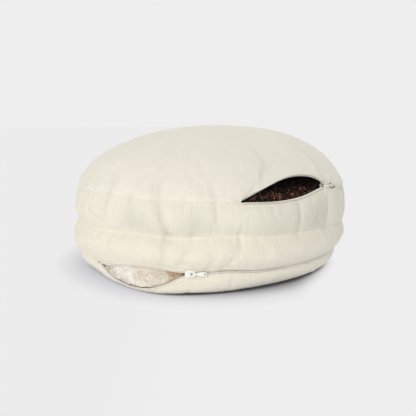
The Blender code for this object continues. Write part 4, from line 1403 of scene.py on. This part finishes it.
def strip_points(zipper, side, azimuths, distances, depths):
    """Points beside a zip's seam line, at distances up the cover and depths below its face."""
    table = arc_table(azimuths)
    arcs = (arc_of(float(zipper.seam), table) + side * distances)[:, None]
    points, normals, stations = surface(azimuths, table, arcs)
    grid = azimuths[:, None]
    depth = draw_depth(grid, stations) - seam_relief(grid, stations) - billow_at(grid, stations)
    sunk = points - normals * (depth + np.reshape(depths, (-1, 1)))[..., None]
    return sunk[:, 0], normals[:, 0]


def make_tape(zipper, side, side_name):
    azimuths = np.linspace(zipper.start, zipper.end, TAPE_COLUMNS)
    coil = coil_distance(azimuths, zipper, side)
    sink = zipper.tape_sink + hidden_sink(azimuths, zipper, side)
    rows = [strip_points(zipper, side, azimuths, coil + offset, sink)[0] for offset in TAPE_OFFSETS]
    normals = strip_points(zipper, side, azimuths, coil, sink)[1]
    under = [row - normals * TAPE_THICKNESS for row in rows[::-1]]
    points = np.stack(rows + under, axis=1)
    count = points.shape[1]
    faces = grid_faces(len(azimuths), count, loop_rows=True, flip=side < 0).tolist()
    last = (len(azimuths) - 1) * count
    caps = [list(range(count)), list(range(last, last + count))]
    caps[1 if side > 0 else 0].reverse()
    made = mesh_object(f"{zipper.name}_woven_tape_{side_name}", points.reshape(-1, 3),
                       faces + caps, materials["tape"])
    along = np.broadcast_to((np.radians(azimuths) * ZIP_RADIUS)[:, None], points.shape[:2])
    across = np.broadcast_to(np.array(TAPE_OFFSETS + TAPE_OFFSETS[::-1]), points.shape[:2])
    set_cloth_map(made, np.stack([along, across], axis=-1).reshape(-1, 2))
    dress(made, "zip_tape", f"{zipper.name}_tape_{side_name}")


def make_coil(zipper, side, side_name):
    """The plastic coil as real turns of thin wire; the two sides mesh half a turn apart."""
    fine = np.linspace(zipper.start, zipper.end, COIL_COLUMNS)
    distance = coil_distance(fine, zipper, side)
    sink = zipper.coil_sink + hidden_sink(fine, zipper, side)
    centre, normals = strip_points(zipper, side, fine, distance, sink)
    lengths = np.concatenate([[0.0], np.cumsum(np.linalg.norm(np.diff(centre, axis=0), axis=-1))])
    turns = lengths[-1] / COIL_PITCH
    steps = np.linspace(0.0, turns, int(turns * COIL_TURN_STEPS))
    places = steps * COIL_PITCH
    middle, normal = (
        np.stack([np.interp(places, lengths, values[:, axis]) for axis in range(3)], axis=-1)
        for values in (centre, normals))
    normal = unit(normal)
    along = unit(np.gradient(middle, axis=0))
    across = np.cross(normal, along)
    phase = 2.0 * np.pi * steps + (np.pi if side < 0 else 0.0)
    wire = (middle + across * (COIL_CROSS * np.cos(phase))[:, None]
            + normal * (COIL_DEEP * np.sin(phase))[:, None])
    heap = Heap()
    heap.add(*tube(wire, COIL_WIRE, COIL_SIDES))
    made = heap.build(f"{zipper.name}_coil_turns_{side_name}", materials["coil"])
    dress(made, "zip_coil", f"{zipper.name}_coil_{side_name}")


for zipper in ZIPS:
    for side, side_name in ((1, "above"), (-1, "below")):
        make_tape(zipper, side, side_name)
        make_coil(zipper, side, side_name)


# ------------------------------------------------------------ sliders
def seam_frame(zipper, azimuth):
    """Axes on a seam: x along the zip away from its mouth, y up the cover, z out of the cloth."""
    here, before, after = cover_point(np.array([azimuth, azimuth - 1.0, azimuth + 1.0]),
                                      np.full(3, float(zipper.seam)))
    out = Vector(outward(np.array([azimuth]), np.array([float(zipper.seam)]))[0])
    along = Vector(after - before)
    up = out.cross(along).normalized()
    along = up.cross(out)
    rotation = Matrix((along, up, out)).transposed()
    return Matrix.Translation(Vector(here)) @ rotation.to_4x4()


def rounded_outline(plate, count=40):
    """A plate's outline, `nose` wide at its -x end and `tail` wide at its +x end."""
    turns = 2.0 * np.pi * np.arange(count) / count
    x, y = (np.sign(wave) * np.abs(wave) ** (2.0 / plate.squareness)
            for wave in (np.cos(turns), np.sin(turns)))
    width = plate.nose + (plate.tail - plate.nose) * (x + 1.0) / 2.0
    return np.stack([plate.place + x * plate.length / 2.0, y * width / 2.0], axis=-1)


def outline_normals(places):
    along = np.roll(places, -1, axis=0) - np.roll(places, 1, axis=0)
    return unit(np.stack([along[:, 1], -along[:, 0]], axis=-1))


def add_layer(heap, layer, place):
    """A flat plate with rounded rims, and a hole through it where one is given."""
    outer = rounded_outline(layer.plate)
    low, high, rounding = layer.low, layer.high, layer.rounding
    outer_normals = outline_normals(outer)
    corner = [(rounding * (1.0 - math.sin(turn)), rounding * (1.0 - math.cos(turn)))
              for turn in np.linspace(0.0, math.pi / 2.0, 4)]
    rows = [(outer - outer_normals * inset, low + rise) for inset, rise in corner]
    rows += [(outer - outer_normals * inset, high - rise) for inset, rise in corner[::-1]]
    if layer.hole is None:
        centre = np.broadcast_to(outer.mean(axis=0), outer.shape)
        rows = [(centre, low)] + rows + [(centre, high)]
    else:
        hole = rounded_outline(layer.hole)
        hole_normals = outline_normals(hole)
        rows += [(hole + hole_normals * inset, high - rise) for inset, rise in corner]
        rows += [(hole + hole_normals * inset, low + rise) for inset, rise in corner[::-1]]
    points = np.stack([np.concatenate([plan, np.full((len(plan), 1), height)], axis=1)
                       for plan, height in rows], axis=1)
    points = np.concatenate([points, points[:1]])
    faces = grid_faces(points.shape[0], points.shape[1], loop_rows=layer.hole is not None)
    heap.add(place(points.reshape(-1, 3)), faces)


def add_bridge(heap):
    """The arch on a slider that holds its pull."""
    turns = np.linspace(0.0, math.pi, BRIDGE_STEPS)
    reach = np.sign(np.cos(turns)) * np.abs(np.cos(turns)) ** BRIDGE_SQUARENESS
    x = BRIDGE_PLACE - BRIDGE_LENGTH / 2.0 * reach
    z = BRIDGE_FOOT + BRIDGE_RISE * np.abs(np.sin(turns)) ** BRIDGE_SQUARENESS
    path = np.stack([x, np.zeros_like(x), z], axis=-1)
    along = unit(np.gradient(path, axis=0))
    out = np.stack([-along[:, 2], np.zeros_like(x), along[:, 0]], axis=-1)
    section = rounded_outline(BRIDGE_SECTION, BRIDGE_SIDES)
    points = np.stack([path + out * v + np.array([0.0, u, 0.0]) for u, v in section], axis=1)
    heap.add(points.reshape(-1, 3), ring_faces(len(path), len(section)))


def tipped(points):
    """Leans the pull down toward the cloth and follows the cover's round."""
    moved = np.array(points)
    away = np.maximum(moved[:, 0] - PULL_BEND_PLACE, 0.0)
    moved[:, 2] += PULL_LOW - PULL_LEAN * away - away ** 2 / (2.0 * ZIP_RADIUS)
    return moved


def make_moulding(zipper, kind, layers, place, material):
    """A slider or a pull, set on its zip's seam."""
    heap = Heap()
    for layer in layers:
        add_layer(heap, layer, place)
    if kind == "slider":
        add_bridge(heap)
    made = heap.build(f"{zipper.name}_moulded_{kind}", material)
    made.data.transform(seam_frame(zipper, slider_azimuth(zipper)))
    dress(weld(made), "slider", f"{zipper.name}_{kind}")


for zipper, tone in ((UPPER_ZIP, "cream_slider"), (LOWER_ZIP, "slider")):
    make_moulding(zipper, "slider", SLIDER_LAYERS, np.array, materials[tone])
    make_moulding(zipper, "pull", PULL_LAYERS, tipped, materials[tone])

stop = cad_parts["lower_zip_stop"]
stop.data.materials.clear()
stop.data.materials.append(materials["stop"])


# ------------------------------------------------------------ fillings
def heap_height(azimuth, radius):
    middle = (UPPER_ZIP.start + UPPER_ZIP.slider) / 2.0
    away = wrapped(azimuth - middle) / HEAP_HALF_WIDTH
    inward = HEAP_RIM_RADIUS - radius
    return (HEAP_RIM_HEIGHT + inward * (HEAP_SLOPE + HEAP_STEEPENING * np.maximum(inward, 0.0))
            + HEAP_END_RISE * np.minimum(away ** 4, HEAP_END_LIMIT))


def hull_points(azimuth, station, depth=FILLING_DEPTH):
    points = cover_point(azimuth, station, depth)
    radius = np.hypot(points[..., 0], points[..., 1])
    points[..., 2] = np.minimum(points[..., 2], heap_height(azimuth, radius))
    return points


def parting_rows(rim_shade, azimuths, gap):
    """Rows of the disc where the chambers part."""
    rows = []
    for share in (0.0, 0.5):
        height = WAIST_HEIGHT + (seam_line(2, azimuths)[1] - WAIST_HEIGHT) * share + gap
        rows.append(np.stack([rim_shade[:, 0] * share, rim_shade[:, 1] * share, height], axis=-1))
    return rows


def make_hull_filling():
    azimuths = azimuth_columns(HEAP_COLUMNS)
    stations = np.concatenate([HEAP_SIDE_STATIONS, np.linspace(*HEAP_RIM_ROWS),
                               np.linspace(*HEAP_TOP_ROWS)])
    rows = [hull_points(azimuths, np.full_like(azimuths, station)) for station in stations]
    rows = parting_rows(rows[0], azimuths, PARTING_HALF_GAP) + rows
    points = np.stack(rows, axis=1)
    bumps = waves_at(points, (HEAP_BUMPS,))
    bumps[:, :len(HEAP_SIDE_STATIONS)] = 0.0
    bumps[:, -1] = 0.0
    points[..., 2] -= np.abs(bumps)
    made = mesh_object("hull_heap", points.reshape(-1, 3),
                       grid_faces(len(azimuths), points.shape[1]), materials["hulls"])
    set_value(made, "tone", np.full(len(made.data.vertices), HEAP_TONE))
    weld(made)
    dress(made, "hulls", "hull_filling")


def husk(split):
    """A three-winged buckwheat husk of unit length, closed or split open; painted light on its wings,
    painted shade on the rest.
    """
    points = [(0.0, 0.0, -0.5)]
    tones = [HUSK_TIP_PAINTED_SHADE]
    for ring in HUSK_RINGS[:2 if split else 1]:
        for step in range(6):
            radius, height = ring[2:] if step % 2 else ring[:2]
            turn = math.pi * step / 3.0
            points.append((radius * math.cos(turn), radius * math.sin(turn), height))
            tones.append(HUSK_HOLLOW_PAINTED_SHADE if step % 2 else 1.0)
    beside = [(1 + side, 1 + (side + 1) % 6) for side in range(6)]
    faces = [(0, after, here) for here, after in beside]
    last = len(points)
    if split:
        points.append((0.0, 0.0, -0.05))
        tones.append(0.0)
        for here, after in beside:
            faces += [(here, after, after + 6, here + 6), (here + 6, after + 6, last)]
    else:
        points.append((0.0, 0.0, 0.52))
        tones.append(HUSK_TIP_PAINTED_SHADE)
        faces += [(here, after, last) for here, after in beside]
    return np.array(points), faces, np.array(tones)


def random_rotation(random):
    turn = random.normal(size=4)
    w, x, y, z = turn / np.linalg.norm(turn)
    return np.array([[1 - 2 * (y * y + z * z), 2 * (x * y - z * w), 2 * (x * z + y * w)],
                     [2 * (x * y + z * w), 1 - 2 * (x * x + z * z), 2 * (y * z - x * w)],
                     [2 * (x * z - y * w), 2 * (y * z + x * w), 1 - 2 * (x * x + y * y)]])


def make_loose_hulls():
    random = np.random.default_rng(HULL_SEED)
    shapes = [husk(False), husk(True)]
    heap = Heap()
    azimuths = random.uniform(UPPER_ZIP.start - 1.0, UPPER_ZIP.slider + 3.0, HULL_COUNT)
    stations = random.uniform(*HULL_STATIONS, HULL_COUNT)
    places = hull_points(azimuths, stations, FILLING_DEPTH + HULL_DEPTH)
    for number, place in enumerate(places):
        points, faces, tones = shapes[number % 2]
        size = HULL_LENGTH * random.uniform(*HULL_SIZES)
        bright = random.random() < HULL_PALE_SHARE
        tone = random.uniform(*HULL_PALE_TONES) if bright else random.beta(*HULL_TONE_SHAPE)
        # painted shade: hulls high in the mouth, under the standing lip, are painted darker
        tone *= 1.0 - HULL_PAINTED_SHADE * float(ease((place[2] - HULL_LIT_HEIGHT) / HULL_SHADE_REACH))
        lift = random.uniform(*HULL_SCATTER)
        turned_points = (points * size) @ random_rotation(random).T
        # each husk's tone, times its painted light and shade
        heap.add(turned_points + place + (0.0, 0.0, lift), faces, tone * tones)
    dress(heap.build("loose_hulls", materials["hulls"], smooth=False), "hulls")


def wadding_swell(azimuth, station):
    opening = gape(LOWER_ZIP, azimuth)
    distance = (seam_distance(azimuth, station, LOWER_ZIP.seam) - opening / 2.0) / WADDING_SWELL_SPREAD
    swell = WADDING_SWELL * opening / LOWER_ZIP.gape * np.exp(-distance ** 2)
    return np.where(station > LOWER_ZIP.seam, 0.0, swell)


def wadding_masks(azimuth, station):
    """1 over most of the lower mouth; 1 also under its lips; the share of the way to the lower lip."""
    opening = gape(LOWER_ZIP, azimuth)
    away = seam_distance(azimuth, station, LOWER_ZIP.seam)
    away = np.where(station > LOWER_ZIP.seam, -away, away)
    inside = np.minimum(away, opening - away)
    shown, packed = (ease((inside + mask.margin) / mask.ease) * ease((opening - mask.least) / mask.rise)
                     for mask in (WADDING_SHOWN, WADDING_PACKED))
    return shown, packed, away / np.maximum(opening, WADDING_SHOWN.least)


def wadding_surface(azimuth, station):
    share = ease(2.0 * (station - FLAT_STATION) / (1.0 - FLAT_STATION))
    depth = np.where(station < 1.0, BASE_FILLING_DEPTH + (FILLING_DEPTH - BASE_FILLING_DEPTH) * share,
                     FILLING_DEPTH)
    plain = cover_point(azimuth, station, depth - wadding_swell(azimuth, station))
    shown, packed, across = wadding_masks(azimuth, station)
    lumps = waves_at(plain, WADDING_LUMPS)
    curls = WADDING_CURL_RISE - 2.0 * np.abs(waves_at(plain, (WADDING_CURLS,)))
    rise = WADDING_LIP_FILL * packed + (WADDING_RISE + lumps + curls) * shown
    tone = wadding_tone(azimuth, shown, across, lumps + curls)
    return plain + outward(azimuth, station) * rise[..., None], tone


def wadding_tone(azimuth, shown, across, relief):
    """Pale where the wadding shows, with a white tuft across it and tan ends; painted shade along the rim
    under the lips, painted light on the lumps' tops.
    """
    # painted shade along the rim under the lips
    rim_shade = with_lifts(WADDING_RIM_PAINTED_SHADE, WADDING_RIM_SHADE_CHANGES, azimuth)
    tuft = with_lifts(0.0, (WADDING_TUFT,), azimuth - WADDING_TUFT_SLANT * across)
    pale = with_lifts(WADDING_TONE, (WADDING_PALE_END,), azimuth)
    tone = rim_shade + (pale - rim_shade + tuft + WADDING_RELIEF_SHADING * relief) * shown
    return with_lifts(tone, (WADDING_TAN_END,), azimuth)


def make_wadding():
    start, end = LOWER_ZIP.start - 2.0, LOWER_ZIP.slider + 3.0
    front = np.linspace(start, end, WADDING_FRONT_COLUMNS)
    back = np.linspace(end + 2.0, start + 358.0, WADDING_BACK_COLUMNS)
    azimuths = np.concatenate([front, back, [front[0] + 360.0]])
    stations = np.concatenate([WADDING_BASE_STATIONS, np.linspace(*WADDING_MOUTH_ROWS),
                               WADDING_SIDE_STATIONS])
    grid_azimuth, grid_station = np.meshgrid(azimuths, stations, indexing="ij")
    points, tone = wadding_surface(wrapped(grid_azimuth), grid_station)
    rows = parting_rows(points[:, -1], wrapped(azimuths), -PARTING_HALF_GAP)[::-1]
    points = np.concatenate([points, np.stack(rows, axis=1)], axis=1)
    tone = np.concatenate([tone, np.zeros((len(azimuths), len(rows)))], axis=1)
    made = mesh_object("wadding_mass", points.reshape(-1, 3),
                       grid_faces(len(azimuths), points.shape[1]), materials["wadding"])
    set_value(made, "tone", tone)
    weld(made)
    dress(made, "wadding", "wadding_filling")


def make_fibres():
    random = np.random.default_rng(FIBRE_SEED)
    heap = Heap()
    for _ in range(FIBRE_COUNT):
        azimuth = random.uniform(LOWER_ZIP.start + 5.0, LOWER_ZIP.slider - 3.0)
        opening = float(gape(LOWER_ZIP, azimuth))
        if opening < FIBRE_LEAST_GAPE:
            continue
        arc = random.uniform(*FIBRE_SHARES) * opening
        heading = random.uniform(-math.pi, math.pi)
        bend = random.normal(scale=FIBRE_BEND)
        stride = random.uniform(*FIBRE_LENGTHS) / FIBRE_STEPS
        walk = []
        for _step in range(FIBRE_STEPS):
            walk.append((azimuth, arc))
            heading += bend
            azimuth += math.degrees(math.cos(heading) * stride / SEAM_RADIUS)
            arc += math.sin(heading) * stride
        azimuths, arcs = np.array(walk).T
        limit = gape(LOWER_ZIP, azimuths) - FIBRE_HIGH_MARGIN
        arcs = np.clip(arcs, FIBRE_LOW_MARGIN, np.maximum(limit, FIBRE_LEAST_LIMIT))
        table = arc_table(azimuths)
        stations = stations_at((arc_of(1.0, table) - arcs)[:, None], table)[:, 0]
        lying = wadding_surface(azimuths, stations)[0]
        loft = FIBRE_LOFT * random.random() * np.sin(np.linspace(0.0, np.pi, FIBRE_STEPS))
        path = lying + outward(azimuths, stations) * (FIBRE_LIFT + loft)[:, None]
        points, faces = tube(path, random.uniform(*FIBRE_RADII), 3)
        heap.add(points, faces, random.uniform(*FIBRE_TONES))
    dress(heap.build("loose_fibres", materials["wadding"]), "wadding")


make_hull_filling()
make_loose_hulls()
make_wadding()
make_fibres()


# ------------------------------------------------------------ a cut of cloth
Cut = namedtuple("Cut", "name width height carrier")


# ------------------------------------------------------------ stage, light and camera
CAMERA_PLACE = (-0.0015, -0.640, 0.179)
CAMERA_PITCH = 10.5
CAMERA_FOCUS = 500.0
PHOTO_SIDE = 416.0
SENSOR = 36.0

STUDIO_TONE = 0.855
SKY_TONE = 0.45
WALL_HEIGHTS = (-0.02, 3.2)
FLOOR_RADIUS = 7.0
FLOOR_SIDES = 64
FLOOR_RINGS = 8
WALL_SIDES = 96
# painted shadow: the floor's glow is darkened near the object by its share of open sky, through these ramps
FLOOR_SHADE_REACH = 0.06
FLOOR_SHADE_SAMPLES = 24
FLOOR_SHADES = (
    (0.05, (0.03, 0.03, 0.03)),
    (0.20, (0.12, 0.117, 0.117)),
    (0.40, (0.44, 0.43, 0.43)),
    (0.52, (0.70, 0.69, 0.69)),
    (0.65, (0.90, 0.89, 0.89)),
    (0.84, (1.0, 1.0, 1.0)),
)
FLOOR_SOFT_SHADES = (
    (0.05, (0.42, 0.41, 0.43)),
    (0.20, (0.56, 0.55, 0.57)),
    (0.40, (0.70, 0.69, 0.71)),
    (0.60, (0.83, 0.82, 0.84)),
    (0.84, (0.98, 0.98, 0.98)),
)
FLOOR_SOFT_START = -0.020
FLOOR_SOFT_END = -0.085
# painted light: the floor's painted shadow is lifted toward +X
FLOOR_BRIGHT_START = 0.085
FLOOR_BRIGHT_END = 0.150
FLOOR_BRIGHT_GAIN = 1.85

Light = namedtuple("Light", "name place target size power colour")
LIGHTS = (
    Light("front_light", (-1.1, -2.4, 1.2), (0.0, 0.0, 0.06), 1.8, 40.0, (1.0, 0.96, 0.91)),
    Light("top_light", (0.5, 1.25, 2.1), (0.0, 0.0, 0.08), 0.6, 15.0, (1.0, 0.99, 0.98)),
)


def make_floor():
    """A pale floor that glows evenly, with a painted shadow close to the object where it hides the sky:
    most in front, soft at -X, lighter at +X.
    """
    look = Look("pale_floor")
    across = look.add("SeparateXYZ", {"Vector": look.add("TexCoord", {}, "Object")}, "X")
    sky = look.add("AmbientOcclusion", {"Distance": FLOOR_SHADE_REACH}, "AO", samples=FLOOR_SHADE_SAMPLES)
    gain = look.span(across, 1.0, FLOOR_BRIGHT_GAIN, FLOOR_BRIGHT_START, FLOOR_BRIGHT_END, "SMOOTHSTEP")
    soft = look.span(across, 1.0, 0.0, FLOOR_SOFT_END, FLOOR_SOFT_START, "SMOOTHSTEP")
    open_sky = look.math("MULTIPLY", sky, gain, clamp=True)
    shade = look.mix("MIX", soft, look.ramp(open_sky, FLOOR_SHADES), look.ramp(open_sky, FLOOR_SOFT_SHADES))
    turns = np.linspace(0.0, 2.0 * np.pi, FLOOR_SIDES + 1)
    radii = np.linspace(0.0, FLOOR_RADIUS, FLOOR_RINGS + 1)
    points = [(radius * math.cos(turn), radius * math.sin(turn), 0.0)
              for turn in turns for radius in radii]
    made = mesh_object("floor", points, grid_faces(len(turns), len(radii), flip=True),
                       look.glowing(shade, STUDIO_TONE), smooth=False)
    weld(made)


def make_wall():
    """A pale round wall that lights the object from the sides and hides the horizon."""
    turns = np.linspace(0.0, 2.0 * np.pi, WALL_SIDES + 1)
    points = [(FLOOR_RADIUS * math.cos(turn), FLOOR_RADIUS * math.sin(turn), height)
              for turn in turns for height in WALL_HEIGHTS]
    made = mesh_object("wall", points, grid_faces(len(turns), 2),
                       Look("pale_wall").glowing(WHITE, STUDIO_TONE))


def make_light(light):
    data = bpy.data.lights.new(light.name, "AREA")
    data.shape = "DISK"
    data.size = light.size
    data.energy = light.power
    data.color = light.colour
    lamp = bpy.data.objects.new(light.name, data)
    lamp.location = light.place
    aim = Vector(light.target) - Vector(light.place)
    lamp.rotation_euler = aim.to_track_quat("-Z", "Y").to_euler()
    bpy.context.scene.collection.objects.link(lamp)


def make_studio():
    make_floor()
    make_wall()
    for light in LIGHTS:
        make_light(light)
    world = bpy.data.worlds.new("studio")
    world.use_nodes = True
    background = world.node_tree.nodes["Background"]
    background.inputs["Color"].default_value = (1.0, 1.0, 1.0, 1.0)
    background.inputs["Strength"].default_value = SKY_TONE
    bpy.context.scene.world = world
    bpy.context.scene.view_settings.view_transform = "Standard"


def make_camera():
    data = bpy.data.cameras.new("camera")
    data.sensor_width = SENSOR
    data.lens = SENSOR * CAMERA_FOCUS / PHOTO_SIDE
    camera = bpy.data.objects.new("camera", data)
    camera.location = CAMERA_PLACE
    camera.rotation_euler = (math.radians(90.0 - CAMERA_PITCH), 0.0, 0.0)
    bpy.context.scene.collection.objects.link(camera)
    bpy.context.scene.camera = camera


make_studio()
make_camera()
